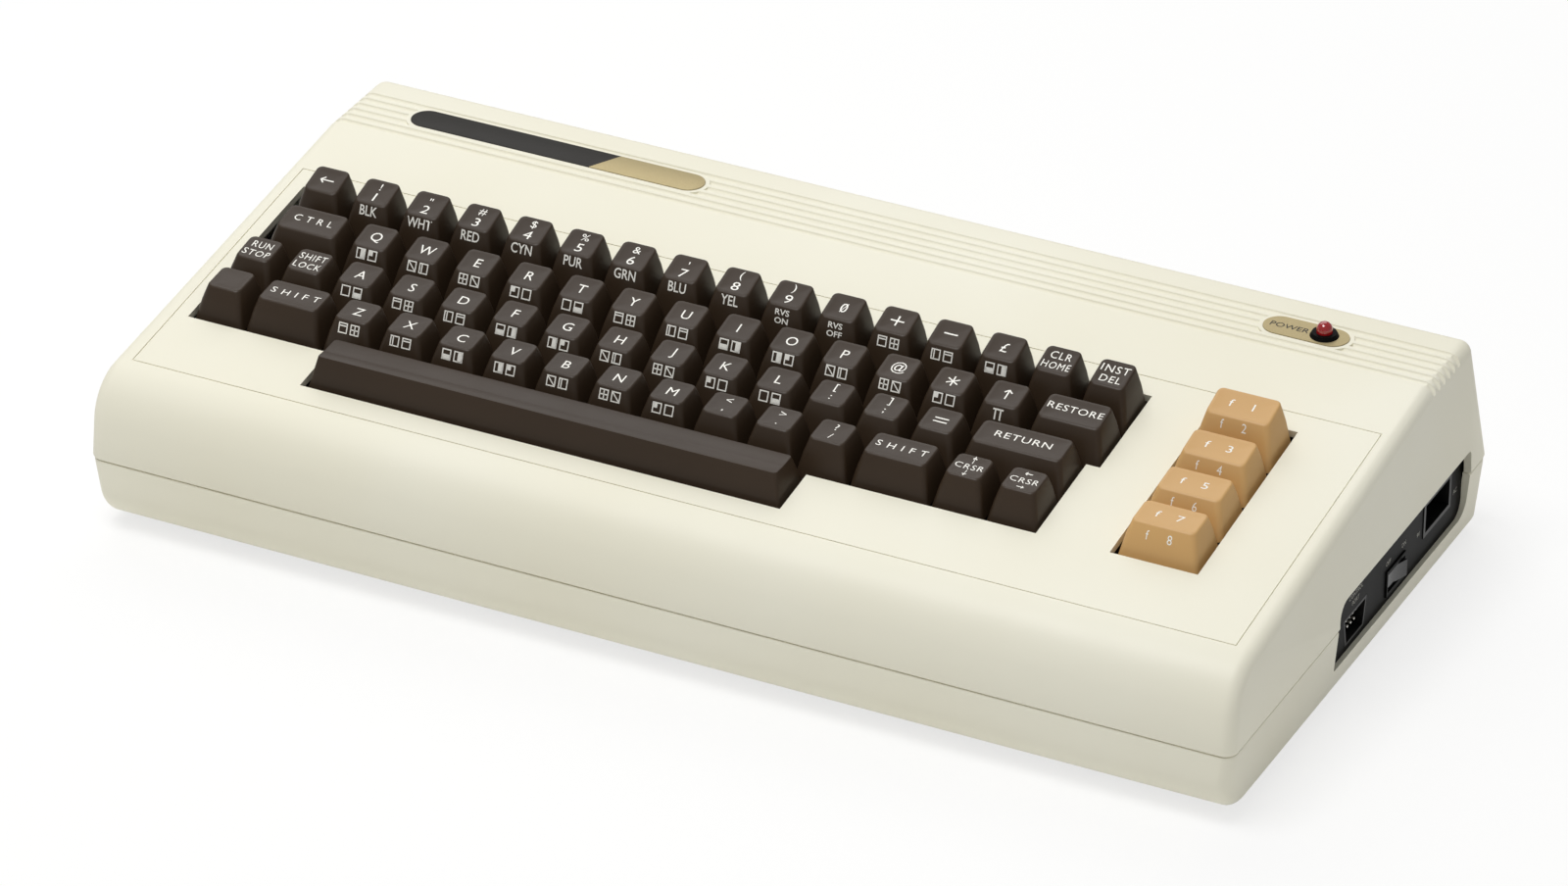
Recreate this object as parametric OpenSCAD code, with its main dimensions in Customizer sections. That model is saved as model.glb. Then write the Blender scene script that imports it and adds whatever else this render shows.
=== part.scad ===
// Vintage home computer: a two-part moulded case with a full keyboard, four wide
// function keys, a power lamp, and a recessed panel of sockets on its right side.
// Millimetres, +X to the user's right, +Y away from the user, +Z up.
// The origin is on the table, under the middle of the case.

/* [Case] */
// Width of the case at the seam
case_w = 405.6; // [402:0.2:412]
// Depth of the case at the seam
case_d = 209; // [207:1:214]
// Height of the flat rear deck above the table
deck_h = 75.8; // [75:0.1:80]
// Height of the seam between the two shells
seam_h = 26.8; // [26.2:0.1:27.6]
// Width of the open line between the two shells
seam_gap = 0.3; // [0.1:0.1:0.6]
// Wall thickness of both shells
wall = 2.6; // [2.2:0.1:3]
// Slope of the keyboard face, in degrees
slope = 7.8; // [7.4:0.1:8.2]
// Distance from the middle of the case back to the kink between slope and deck
kink_y = 54.8; // [54:0.1:57]
// Radius of the big roll at the front of the upper shell
front_r = 18; // [15:0.5:20]
// Radius of the upper shell's side and rear edges
edge_r = 4.5; // [4:0.25:5.5]
// How far each side leans in between the seam and the deck
side_lean = 1.8; // [0.5:0.1:2.5]
// How far the rear wall leans in between the seam and the deck
rear_lean = 13; // [10:0.5:14]
// How far the front wall leans in below the roll
front_lean = 0.9; // [0.3:0.1:1.5]
// Radius of the roll under the lower shell's front
chin_r = 16; // [13:0.5:18]
// Radius of the lower shell's bottom edges
base_r = 4; // [3.5:0.25:5]
// How far the lower shell's rim stands back from the upper one's
rim_step = 0.4; // [0.2:0.1:0.8]
// How far the lower shell's sides and rear lean in towards the table
base_lean = 1.6; // [0.8:0.1:2.5]

/* [Deck] */
// Number of grooves across the rear deck
groove_n = 6; // [4:1:6]
// Spacing of the grooves
groove_pitch = 4.12; // [3.8:0.02:4.4]
// Radius of a groove
groove_r = 1.3; // [1:0.1:1.6]
// Depth of a groove
groove_depth = 0.9; // [0.5:0.1:1.1]
// Distance from the kink to the first groove
groove_first = 2.3; // [2:0.1:3]
// Length of the long name plate
badge_l = 110; // [95:1:120]
// Width of both plates
badge_w = 11.4; // [10:0.2:12]
// Middle of the long name plate, along X
badge_x = -122; // [-128:0.5:-115]
// Length of the lamp's plate
lamp_plate_l = 29.5; // [27:0.5:32]
// Middle of the lamp's plate, along X
lamp_plate_x = 150.6; // [142:0.1:152]
// Distance from the kink to the middle line of both plates
badge_from_kink = 15.7; // [15:0.1:17]
// Thickness of both plates
badge_t = 0.8; // [0.6:0.1:1.2]
// Depth of the recesses that hold both plates
badge_sink = 0.5; // [0.3:0.05:0.6]
// Plain rim left round both plates
badge_rim = 1.5; // [1:0.1:2]
// Radius of the lamp's dome
lamp_r = 2.7; // [2.3:0.1:2.9]
// Distance from the middle of the lamp's plate to the lamp
lamp_shift = 6.3; // [5:0.1:7.5]

/* [Keyboard] */
// Key spacing
pitch = 19.05; // [18.8:0.05:19.2]
// Gap between the skirts of two caps
cap_gap = 0.85; // [0.6:0.05:1.2]
// Gap between the outer caps and the case's cut-out, along X
well_gap_x = 0.15; // [0.1:0.05:0.5]
// Gap between the function keys or the space bar and their cut-outs, along X
well_gap_f = 0.7; // [0.4:0.05:1]
// Gap between the outer caps and the case's cut-out, along the slope
well_gap_s = 1.1; // [0.8:0.1:1.5]
// Left edge of the key grid
grid_x = -185.2; // [-187:0.1:-184]
// Distance down the slope from the kink to the rear edge of the key grid
grid_s = 38; // [37.5:0.1:40]
// Gap between the grid's right end and the function keys
f_gap = 21.4; // [20.5:0.1:23]
// Depth of the caps' skirts below the case's face
skirt = 3.2; // [2.5:0.1:3.6]
// Travel of every key
travel = 4; // [3:0.1:4.2]
// Width of a one-unit cap's top face
cap_top_w = 11.4; // [10.5:0.1:12.5]
// Depth of a cap's top face
cap_top_d = 11.2; // [10:0.1:12]
// How far the top faces stand back from the middle of the skirt
cap_back = 2.8; // [2:0.1:3.2]
// Height of the space bar's front ridge above the case's face
bar_h = 8.6; // [7:0.1:9.5]
// Radius of a key's stem
stem_r = 2.8; // [2.4:0.1:3]
// Running clearance of a stem in its guide, on the radius
stem_fit = 0.06; // [0.02:0.01:0.1]
// Room between the keys' skirts, pressed down, and the keyboard's frame
press_room = 0.8; // [0.5:0.1:1.2]
// Thickness of the keyboard's frame
frame_t = 2; // [1.6:0.1:2.4]
// Length of the guide tubes under the frame
guide_l = 5; // [4:0.5:6]
// Height of the springs under the stems, at rest
spring_h = 7; // [6:0.5:8]
// Thickness of both circuit boards
pcb_t = 1.6; // [1.2:0.1:2]
// Width of the thin line engraved round the keyboard
line_w = 0.4; // [0.2:0.1:0.8]
// Distance from the engraved line to the case's sides
line_side = 7.4; // [6.5:0.1:8]

// Distance from the engraved line to the space bar's cut-out
line_front = 8.6; // [7:0.1:10]
// Distance from the rear keys back to the engraved line
line_back = 10.3; // [8:0.1:11]

/* [Side panel] */
// Front end of the window in the right side
port_y0 = -20; // [-23:0.5:-17]
// Rear end of the window
port_y1 = 89; // [88:0.5:91]
// Lower edge of the window
port_z0 = 11.2; // [11:0.1:11.8]
// Upper edge of the window
port_z1 = 35.8; // [35:0.1:37]
// Radius of the window's upper front and lower rear corners
window_r = 6; // [3:0.5:8]
// Thickness of the black panel
panel_t = 1.5; // [1.2:0.1:2]
// Middle of the control port, along Y
joy_y = 0.5; // [-1:0.1:2.5]
// Middle of the power switch, along Y
switch_y = 33.4; // [30:0.1:36]
// Middle of the power inlet, along Y
inlet_y = 67.9; // [67:0.1:70]
// Height of the control port and the switch above the table
socket_z = 18.1; // [17.9:0.1:18.6]
// Swing of the rocker from off to on, in degrees
rocker_swing = 18; // [14:1:20]

/* [Inside and below] */
// Height of the rubber feet
foot_h = 2; // [1.5:0.25:3]
// Radius of the rubber feet
foot_r = 7; // [5:0.5:8]
// Height of the posts that carry the main board
standoff_h = 4.6; // [4.2:0.1:5]
// Width of the slots in the bottom
vent_w = 3; // [2:0.25:3.5]
// Radius of every screw's shank
screw_r = 1.5; // [1.2:0.1:1.7]

/* [Hidden] */
eps = 0.01;
seat = 0.3;
fine = 32;

// Cap rows, from the back: height of the top face above the case, and its tilt.
row_h = [11.6, 8.8, 8.0, 8.6];
row_tilt = [9, 5, 1, -2];
// Keys: node, row from the back, first key's left edge and width in units, count.
keys = [
    ["keys_arrow_1_2", 0, 0, 1, 3], ["keys_3_4", 0, 3, 1, 2],
    ["keys_5_6", 0, 5, 1, 2], ["keys_7_8", 0, 7, 1, 2],
    ["keys_9_0", 0, 9, 1, 2], ["keys_plus_minus", 0, 11, 1, 2],
    ["keys_pound_home_delete", 0, 13, 1, 3],
    ["key_ctrl", 1, 0, 1.5, 1], ["keys_q_w", 1, 1.5, 1, 2],
    ["keys_e_r", 1, 3.5, 1, 2], ["keys_t_y", 1, 5.5, 1, 2],
    ["keys_u_i", 1, 7.5, 1, 2], ["keys_o_p", 1, 9.5, 1, 2],
    ["keys_at_star_up", 1, 11.5, 1, 3], ["key_restore", 1, 14.5, 1.5, 1],
    ["key_run_stop", 2, -0.25, 1, 1], ["key_shift_lock", 2, 0.75, 1, 1],
    ["keys_a_s", 2, 1.75, 1, 2], ["keys_d_f", 2, 3.75, 1, 2],
    ["keys_g_h", 2, 5.75, 1, 2], ["keys_j_k", 2, 7.75, 1, 2],
    ["keys_l_colon", 2, 9.75, 1, 2], ["keys_semicolon_equals", 2, 11.75, 1, 2],
    ["key_return", 2, 13.75, 2, 1],
    ["key_blank", 3, -0.25, 1, 1], ["key_shift_left", 3, 0.75, 1.5, 1],
    ["keys_z_x", 3, 2.25, 1, 2], ["keys_c_v", 3, 4.25, 1, 2],
    ["keys_b_n", 3, 6.25, 1, 2], ["keys_m_comma", 3, 8.25, 1, 2],
    ["keys_point_slash", 3, 10.25, 1, 2], ["key_shift_right", 3, 12.25, 1.5, 1],
    ["keys_cursor", 3, 13.75, 1, 2]
];
grid_w = 16;
f_x = grid_w + f_gap / pitch;
f_keys = [for (r = [0 : 3]) [str("key_f", 2 * r + 1), r, f_x, 1.5, 1]];
all_caps = concat(keys, f_keys);
bar_x = 2.53;
bar_w = 9;

// Case profile: the kink and the front roll both touch the sloping face.
top_z = deck_h - edge_r;
kink_c = kink_y + edge_r * tan(slope / 2);
roll_y = -case_d / 2 + front_lean + front_r;
roll_z = (-sin(slope) * (kink_c - roll_y) + cos(slope) * top_z + edge_r - front_r)
         / cos(slope);
rear_y = case_d / 2 - rear_lean;
function lean(z) = side_lean * (z - seam_h) / (deck_h - seam_h);
floor_z = foot_h + wall;
board_z = floor_z + standoff_h;
board_top = board_z + pcb_t;

// Heights in the keyboard's own frame: 0 is the case's face, measured square to it.
frame_h = -skirt - travel - press_room;
guide_h = frame_h - frame_t - guide_l;
collar_t = 1.2;
stem_end = guide_h - seat - collar_t;
kb_board_h = stem_end - spring_h;
kb_board_s0 = -grid_s - 5 * pitch - 3.5;
kb_board_s1 = -grid_s + 12;
kb_x0 = grid_x - 0.25 * pitch - 3;
kb_x1 = grid_x + (f_x + 1.5) * pitch + 4;
function row_s(r) = -grid_s - (r + 0.5) * pitch;
function key_x(u, w) = grid_x + (u + w / 2) * pitch;
// Places of all stems: the caps' middles, then the space bar's.
cap_places = [for (k = all_caps, i = [0 : k[4] - 1])
    [key_x(k[2] + i * k[3], k[3]), row_s(k[1])]];
bar_mid = key_x(bar_x, bar_w);
bar_guide = 3.5 * pitch;
bar_s = row_s(4);
stem_places = concat(cap_places, [for (i = [-1 : 1]) [bar_mid + i * bar_guide, bar_s]]);

// Screws: case screws from below, keyboard screws and board screws from their boards.
case_screws = [for (x = [-150, 0, 150]) [x, -case_d / 2 + 15.5]];
rear_screws = [for (sx = [-1, 1]) [sx * (case_w / 2 - 17), case_d / 2 - 7.5]];
kb_screws = [for (x = [kb_x0 + 22, bar_mid + 5.4 * pitch, kb_x1 - 24])
    [x, kb_board_s0 + 2.5]];
kb_rear_screws = [for (x = [kb_x0 + 22, 0, kb_x1 - 24]) [x, kb_board_s1 - 4.5]];
board_screws = [for (x = [-176, 0, 165], y = [-54, 78]) [x, y]];
kb_posts = concat(kb_screws, kb_rear_screws);
post_r = 3.6;
post_z = 20;
head_r = 2.9;
head_t = 1.8;

// Side panel and its sockets
panel_x = case_w / 2 - wall - 0.7;
body_x = panel_x - panel_t;
inlet_z = socket_z + 7.2;
rocker_x = body_x - 1.2;
rocker_l = 12.6;
rocker_w = 6;
pin_r = 1;

dee_w = 18.8;
dee_h = 10.4;
dee_lean = 1.9;
switch_w = 15.6;
switch_h = 9.4;
inlet_w = 23;
inlet_h = 13;
header_h = 6;

// Rear sockets, along X, and the height of the openings in front of them
slot_x = [62, 166];
din_x = [38, 12];
din_z = board_top + 8.1;
tape_x = [-44, -14];
user_x = [-152, -98];
rear_z0 = floor_z + 2.4;
rear_z1 = seam_h - 2;
board_y0 = -62;
board_y1 = case_d / 2 - 14;

// ---- shared shapes ----

// A ball whose poles and equator lie exactly on its radius.
module ball(r) {
    rotate_extrude($fn = 24)
        intersection() {
            circle(r = r, $fn = 24);
            translate([0, -r]) square([r, 2 * r]);
        }
}

// A ring about the X axis, for the ends of a roll.
module roll_end(roll, edge, inset) {
    rotate([0, 90, 0])
        rotate_extrude($fn = 48)
            translate([roll - edge, 0]) circle(r = edge - inset, $fn = 24);
}

// Plan corners of a shell's rim.
module rim_corners(w, d, r, inset, z, h) {
    for (sx = [-1, 1], sy = [-1, 1])
        translate([sx * (w / 2 - r), sy * (d / 2 - r), z])
            cylinder(r = r - inset, h = h, $fn = 24);
}

// The upper shell's outer form, or its inner one at an inset, cut off at the seam.
module upper_form(inset) {
    sink = inset > 0 ? 1 : 0;
    intersection() {
        hull() {
            rim_corners(case_w, case_d, edge_r, inset, seam_h - 1, 1);
            for (sx = [-1, 1]) {
                translate([sx * (case_w / 2 - lean(roll_z) - edge_r), roll_y, roll_z])
                    roll_end(front_r, edge_r, inset);
                for (y = [kink_c, rear_y - edge_r])
                    translate([sx * (case_w / 2 - side_lean - edge_r), y, top_z])
                        ball(edge_r - inset);
            }
        }
        block([-case_w, -case_d, seam_h - sink], [case_w, case_d, deck_h + 1]);
    }
}

// The lower shell's outer form, or its inner one at an inset, cut off below the seam.
module lower_form(inset) {
    sink = inset > 0 ? 1 : 0;
    rim_z = seam_h - seam_gap;
    w = case_w - 2 * rim_step;
    d = case_d - 2 * rim_step;
    intersection() {
        hull() {
            rim_corners(w, d, edge_r, inset, rim_z - 1, 2);
            for (sx = [-1, 1]) {
                translate([sx * (w / 2 - base_lean - base_r), -d / 2 + 0.3 + chin_r, foot_h + chin_r])
                    roll_end(chin_r, base_r, inset);
                translate([sx * (w / 2 - base_lean - base_r), d / 2 - base_lean - base_r, foot_h + base_r])
                    ball(base_r - inset);
            }
        }
        block([-case_w, -case_d, foot_h - 1], [case_w, case_d, rim_z + sink]);
    }
}

// Puts a shape on the keyboard's face: x, distance up the slope from the kink, height.
module on_slope() {
    translate([0, kink_y, deck_h]) rotate([slope, 0, 0]) children();
}

// A block from corner to corner.
module block(a, b) {
    translate(a) cube([b[0] - a[0], b[1] - a[1], b[2] - a[2]]);
}

// A flat plate with round ends, its underside at z = 0.
module pill(l, w, t) {
    for (sx = [-1, 1])
        translate([sx * (l - w) / 2, 0, 0]) cylinder(d = w, h = t, $fn = 48);
    translate([-(l - w) / 2, -w / 2, 0]) cube([l - w, w, t]);
}

// Moves a shape to the middle line of the two plates on the deck.
module at_plate(x, z) {
    translate([x, kink_y + badge_from_kink, z]) children();
}

// ---- the case ----

// The openings for the keys, from the underside of the face to above it.
module key_wells() {
    low = frame_h + 1;
    high = 6;
    // x range in units, slope range in rows from the back, gap along X
    wells = [[-0.25, 16, 0, 2, well_gap_x], [-0.25, 15.75, 1.5, 4, well_gap_x],
             [bar_x, bar_x + bar_w, 3.5, 5, well_gap_f], [f_x, f_x + 1.5, 0, 4, well_gap_f]];
    on_slope()
        for (w = wells)
            let (g = w[4])
            translate([grid_x + w[0] * pitch - g,
                       -grid_s - w[3] * pitch - well_gap_s, low])
                cube([(w[1] - w[0]) * pitch + 2 * g,
                      (w[3] - w[2]) * pitch + well_gap_s + (w[2] == 0 ? well_gap_s : 0),
                      high - low]);
}

// The thin line round the keyboard.
module face_line() {
    x = case_w / 2 - line_side;
    s0 = -grid_s - 5 * pitch - well_gap_s - line_front;
    s1 = -grid_s + line_back;
    on_slope()
        translate([0, (s0 + s1) / 2, -line_w])
            difference() {
                translate([-x, -(s1 - s0) / 2, 0]) cube([2 * x, s1 - s0, 2]);
                translate([-x + line_w, -(s1 - s0) / 2 + line_w, -1])
                    cube([2 * (x - line_w), s1 - s0 - 2 * line_w, 4]);
            }
}

// Grooves over the deck that turn down over its side edges.
module deck_grooves() {
    x = case_w / 2;
    arc_x = x - side_lean - edge_r;
    lift = groove_r - groove_depth;
    difference() {
        for (i = [0 : groove_n - 1])
            translate([0, kink_y + groove_first + i * groove_pitch, deck_h + lift]) {
                rotate([0, 90, 0]) cylinder(r = groove_r, h = 2 * x, center = true, $fn = 24);
                for (sx = [-1, 1])
                    translate([sx * arc_x, 0, -lift - edge_r])
                        rotate([0, sx * 45, 0])
                            translate([0, 0, edge_r + lift * 0.7])
                                rotate([0, 90, 0])
                                    cylinder(r = groove_r, h = 6.4, center = true, $fn = 24);
            }
        at_plate(badge_x, deck_h - 3) pill(badge_l + 2 * badge_rim, badge_w + 2 * badge_rim, 6);
        at_plate(lamp_plate_x, deck_h - 3)
            pill(lamp_plate_l + 2 * badge_rim, badge_w + 2 * badge_rim, 6);
    }
}

// Points of a quarter circle round a corner, from angle a on.
function arc(y, z, r, a) = [for (i = [0 : 6]) [y + r * cos(a + i * 15), z + r * sin(a + i * 15)]];

// The window in the right side: its upper front and lower rear corners are the roundest.
module side_window() {
    on_panel(panel_x - 6, 0, 0)
        linear_extrude(case_w / 2 - panel_x + 11)
            polygon(concat(arc(port_y1 - 2, port_z1 - 2, 2, 0),
                           arc(port_y0 + window_r, port_z1 - window_r, window_r, 90),
                           arc(port_y0 + 1, port_z0 + 1, 1, 180),
                           arc(port_y1 - window_r, port_z0 + window_r, window_r, 270)));
}

// Room inside both shells for the black panel behind the window.
module panel_pocket() {
    block([body_x - 6, port_y0 - 2.3, port_z0 - 1.6], [panel_x + 0.1, port_y1 + 2.3, port_z1 + 1.9]);
}

// Posts that hang from the upper shell, cut to its inner form.
module top_posts() {
    intersection() {
        upper_form(wall - 0.4);
        union() {
            for (p = concat(case_screws, rear_screws))
                translate([p[0], p[1], post_z]) cylinder(r = post_r, h = deck_h, $fn = fine);
            on_slope()
                for (p = kb_posts)
                    translate([p[0], p[1], frame_h]) cylinder(r = post_r, h = -frame_h, $fn = fine);
        }
    }
}

module top_case() {
    color("#efeddc")
    difference() {
        union() {
            difference() {
                upper_form(0);
                upper_form(wall);
            }
            top_posts();
        }
        key_wells();
        face_line();
        deck_grooves();
        at_plate(badge_x, deck_h - badge_sink) pill(badge_l + 0.2, badge_w + 0.2, 2);
        at_plate(lamp_plate_x, deck_h - badge_sink) pill(lamp_plate_l + 0.2, badge_w + 0.2, 2);
        at_plate(lamp_plate_x + lamp_shift, deck_h - wall - 1)
            cylinder(r = lamp_r + 0.95, h = wall + 2, $fn = fine);
        side_window();
        panel_pocket();
        for (p = concat(case_screws, rear_screws))
            translate([p[0], p[1], post_z - 1])
                cylinder(r = screw_r + 0.05, h = 13, $fn = fine);
        on_slope()
            for (p = kb_posts)
                translate([p[0], p[1], frame_h - 1])
                    cylinder(r = screw_r + 0.05, h = 4.5, $fn = fine);
    }
}

// Slots in the bottom, in two fields.
module vents() {
    for (x0 = [-110, 40], i = [0 : 8])
        block([x0 + i * 9, 20, foot_h - 1], [x0 + i * 9 + vent_w, 62, floor_z + 1]);
}

module rear_windows() {
    y = case_d / 2;
    for (x = [slot_x, [din_x[1] - 11, din_x[0] + 11], tape_x, user_x])
        block([x[0], y - 8, rear_z0], [x[1], y + 2, rear_z1]);
}

module bottom_posts() {
    for (p = concat(case_screws, rear_screws))
        translate([p[0], p[1], foot_h + eps])
            cylinder(r = post_r, h = post_z - foot_h - eps, $fn = fine);
    for (p = board_screws)
        translate([p[0], p[1], foot_h + 1]) cylinder(r = post_r, h = board_z - foot_h - 1, $fn = fine);
}

// A rail inside the lower shell that carries the black panel's lower edge.
module panel_rail() {
    block([body_x - 2, port_y0 - 3, foot_h + 1], [panel_x + 1, port_y1 + 3, port_z0 - 1.6]);
}

module bottom_case() {
    color("#e7e5d2")
    difference() {
        union() {
            difference() {
                lower_form(0);
                lower_form(wall);
            }
            intersection() {
                lower_form(wall - 0.4);
                union() {
                    bottom_posts();
                    panel_rail();
                }
            }
        }
        side_window();
        panel_pocket();
        rear_windows();
        vents();
        for (p = concat(case_screws, rear_screws))
            translate([p[0], p[1], 0]) {
                cylinder(r = screw_r + 0.2, h = post_z + 1, $fn = fine);
                cylinder(r = head_r + 0.4, h = post_z - 8, $fn = fine);
            }
        for (p = board_screws)
            translate([p[0], p[1], floor_z])
                cylinder(r = screw_r + 0.05, h = board_z, $fn = fine);
    }
}

module rubber_feet() {
    color("#2b2a28")
    for (sx = [-1, 1], y = [-case_d / 2 + 27, case_d / 2 - 24])
        translate([sx * (case_w / 2 - 34), y, 0])
            difference() {
                cylinder(r = foot_r, h = foot_h, $fn = 48);
                translate([0, 0, -eps]) cylinder(r = foot_r - 2, h = 0.6, $fn = 48);
            }
}

module badge() {
    color("#34322f") at_plate(badge_x, deck_h - badge_sink) pill(badge_l, badge_w, badge_t);
}

module lamp_plate() {
    color("#cdbd94")
    at_plate(lamp_plate_x, deck_h - badge_sink)
        difference() {
            pill(lamp_plate_l, badge_w, badge_t);
            translate([lamp_shift, 0, -1]) cylinder(r = lamp_r + 0.95, h = 3, $fn = fine);
        }
}

// The lamp: a domed lens over a round body with a flange.
module power_lamp() {
    color("#8c1016")
    at_plate(lamp_plate_x + lamp_shift, deck_h - 6) {
        cylinder(r = lamp_r, h = 8.6, $fn = fine);
        translate([0, 0, 8.6]) sphere(r = lamp_r, $fn = fine);
        cylinder(r = lamp_r + 0.5, h = 1, $fn = fine);
    }
}

module lamp_bezel() {
    top = deck_h - badge_sink + badge_t;
    color("#262422")
    at_plate(lamp_plate_x + lamp_shift, 0)
        difference() {
            union() {
                translate([0, 0, top]) cylinder(r1 = lamp_r + 2.1, r2 = lamp_r + 1.4, h = 1.3, $fn = 48);
                translate([0, 0, top - 4.2]) cylinder(r = lamp_r + 0.9, h = 4.2 + eps, $fn = fine);
            }
            translate([0, 0, top - 6]) cylinder(r = lamp_r + 0.05, h = 9, $fn = fine);
        }
}

// ---- the keys ----

// Points of a rounded rectangle, turned and lifted into place.
function ring(w, d, r, y, h, tilt) = [
    for (c = [[1, 1, 0], [-1, 1, 90], [-1, -1, 180], [1, -1, 270]], i = [0 : 2])
        let (a = c[2] + i * 45,
             px = c[0] * (w / 2 - r) + r * cos(a),
             py = c[1] * (d / 2 - r) + r * sin(a))
        [px, y + py * cos(tilt), h + py * sin(tilt)]
];

// One cap: flared skirt, rounded shoulder and a dished top, then its hollow and stem.
module key_cap(w, row) {
    bw = w * pitch - cap_gap;
    bd = pitch - cap_gap;
    tw = bw - (pitch - cap_gap - cap_top_w);
    h = row_h[row];
    tilt = row_tilt[row];
    difference() {
        cap_skin(bw, bd, tw, h, tilt);
        cap_hollow(bw, bd, tw, h);
    }
    stem(h - 2);
}

// The outer skin of a cap, from the skirt's edge up to the middle of its dish.
module cap_skin(bw, bd, tw, h, tilt) {
    shoulder = h - 0.9;
    mid = 0.5 * (shoulder + skirt) - skirt;
    mid_w = bw - 0.4 * (bw - tw);
    mid_d = bd - 0.4 * (bd - cap_top_d);
    rings = [
        ring(bw, bd, 0.9, 0, -skirt, 0),
        ring(mid_w, mid_d, 1.6, 0.4 * cap_back, mid, 0.4 * tilt),
        ring(tw + 0.9, cap_top_d + 0.9, 2.6, cap_back, shoulder, tilt),
        ring(tw - 0.5, cap_top_d - 0.5, 2.2, cap_back, h, tilt)
    ];
    loft(rings, [0, cap_back, h - 0.5]);
}

// A closed skin over rings of twelve points, drawn together at a tip.
module loft(rings, tip) {
    n = 12;
    m = len(rings);
    points = concat([for (r = rings) each r], [tip]);
    sides = [for (k = [0 : m - 2], i = [0 : n - 1])
        let (j = (i + 1) % n)
        each [[k * n + i, (k + 1) * n + j, k * n + j],
              [k * n + i, (k + 1) * n + i, (k + 1) * n + j]]];
    cap = [for (i = [0 : n - 1]) [(m - 1) * n + i, m * n, (m - 1) * n + (i + 1) % n]];
    base = [for (i = [1 : n - 2]) [0, i, i + 1]];
    polyhedron(points = points, faces = concat(sides, cap, base));
}

// The hollow under a cap: a tapered box.
module cap_hollow(bw, bd, tw, h) {
    t = 1.5;
    x0 = bw / 2 - t;
    y0 = bd / 2 - t;
    x1 = tw / 2 - t;
    y1 = cap_top_d / 2 - t;
    z0 = -skirt - eps;
    z1 = h - 2.4;
    polyhedron(
        points = [[-x0, -y0, z0], [x0, -y0, z0], [x0, y0, z0], [-x0, y0, z0],
                  [-x1, cap_back - y1, z1], [x1, cap_back - y1, z1],
                  [x1, cap_back + y1, z1], [-x1, cap_back + y1, z1]],
        faces = [[0, 1, 2, 3], [7, 6, 5, 4], [0, 4, 5, 1], [1, 5, 6, 2],
                 [2, 6, 7, 3], [3, 7, 4, 0]]);
}

// A stem down through its guide, with the collar that stops it at the top.
module stem(top) {
    translate([0, 0, stem_end]) {
        cylinder(r = stem_r, h = top - stem_end, $fn = fine);
        cylinder(r = stem_r + 0.8, h = collar_t, $fn = fine);
    }
}

module key_group(k) {
    tan_key = search("f", k[0][4])[0] == 0 && len(k[0]) == 6;
    color(tan_key ? "#c39a63" : "#40362e")
    on_slope()
        for (i = [0 : k[4] - 1])
            translate([key_x(k[2] + i * k[3], k[3]), row_s(k[1]), 0])
                key_cap(k[3], k[1]);
}

// The space bar: a long wedge-topped bar, hollow below.
module space_bar() {
    l = bar_w * pitch - cap_gap;
    d = pitch - cap_gap;
    color("#40362e")
    on_slope()
        translate([bar_mid, bar_s, 0]) {
            difference() {
                bar_solid(l, d, bar_h, 0);
                translate([0, 0, -eps]) bar_solid(l, d, bar_h, 1.5);
            }
            for (i = [-1 : 1]) translate([i * bar_guide, 0, 0]) stem(bar_h - 2);
        }
}

module bar_solid(l, d, h, t) {
    z0 = -skirt;
    x0 = l / 2 - t;
    x1 = l / 2 - 1.9 - t;
    f0 = -d / 2 + t;
    f1 = -d / 2 + 3.2 + t;
    b0 = d / 2 - t;
    b1 = d / 2 - 2.6 - t;
    polyhedron(
        points = [[-x0, f0, z0], [x0, f0, z0], [x0, b0, z0], [-x0, b0, z0],
                  [-x1, f1, h - t], [x1, f1, h - t],
                  [x1, b1, h - 1.9 - t], [-x1, b1, h - 1.9 - t]],
        faces = [[0, 1, 2, 3], [7, 6, 5, 4], [0, 4, 5, 1], [1, 5, 6, 2],
                 [2, 6, 7, 3], [3, 7, 4, 0]]);
}

// ---- under the keys ----

module keyboard_frame() {
    s0 = kb_board_s0 - 3;
    s1 = kb_board_s1 + 1;
    rib = 2;
    low = kb_board_h + seat;
    color("#1f1e1c")
    on_slope()
        difference() {
            union() {
                block([kb_x0, s0, frame_h - seat - frame_t], [kb_x1, s1, frame_h - seat]);
                for (p = stem_places)
                    translate([p[0], p[1], guide_h])
                        cylinder(r = stem_r + 1.5, h = guide_l + eps, $fn = fine);
                for (p = kb_posts)
                    translate([p[0], p[1], low])
                        cylinder(r = post_r, h = frame_h - seat - frame_t - low + eps, $fn = fine);
            }
            for (p = stem_places)
                translate([p[0], p[1], guide_h - 1])
                    cylinder(r = stem_r + stem_fit, h = guide_l + frame_t + 3, $fn = fine);
            for (p = kb_posts)
                translate([p[0], p[1], low - 1])
                    cylinder(r = screw_r + 0.1, h = 20, $fn = fine);
        }
}

module keyboard_board() {
    color("#3f6b3a")
    on_slope()
        difference() {
            block([kb_x0 + 1, kb_board_s0, kb_board_h - pcb_t],
                  [kb_x1 - 1, kb_board_s1, kb_board_h]);
            for (p = kb_posts)
                translate([p[0], p[1], kb_board_h - pcb_t - 1])
                    cylinder(r = screw_r + 0.1, h = pcb_t + 2, $fn = fine);
        }
}

module key_springs() {
    color("#b9b9b4")
    on_slope()
        for (p = stem_places)
            translate([p[0], p[1], kb_board_h])
                difference() {
                    cylinder(r = stem_r - 0.2, h = spring_h, $fn = fine);
                    translate([0, 0, -1]) cylinder(r = stem_r - 0.6, h = spring_h + 2, $fn = fine);
                }
}

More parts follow.
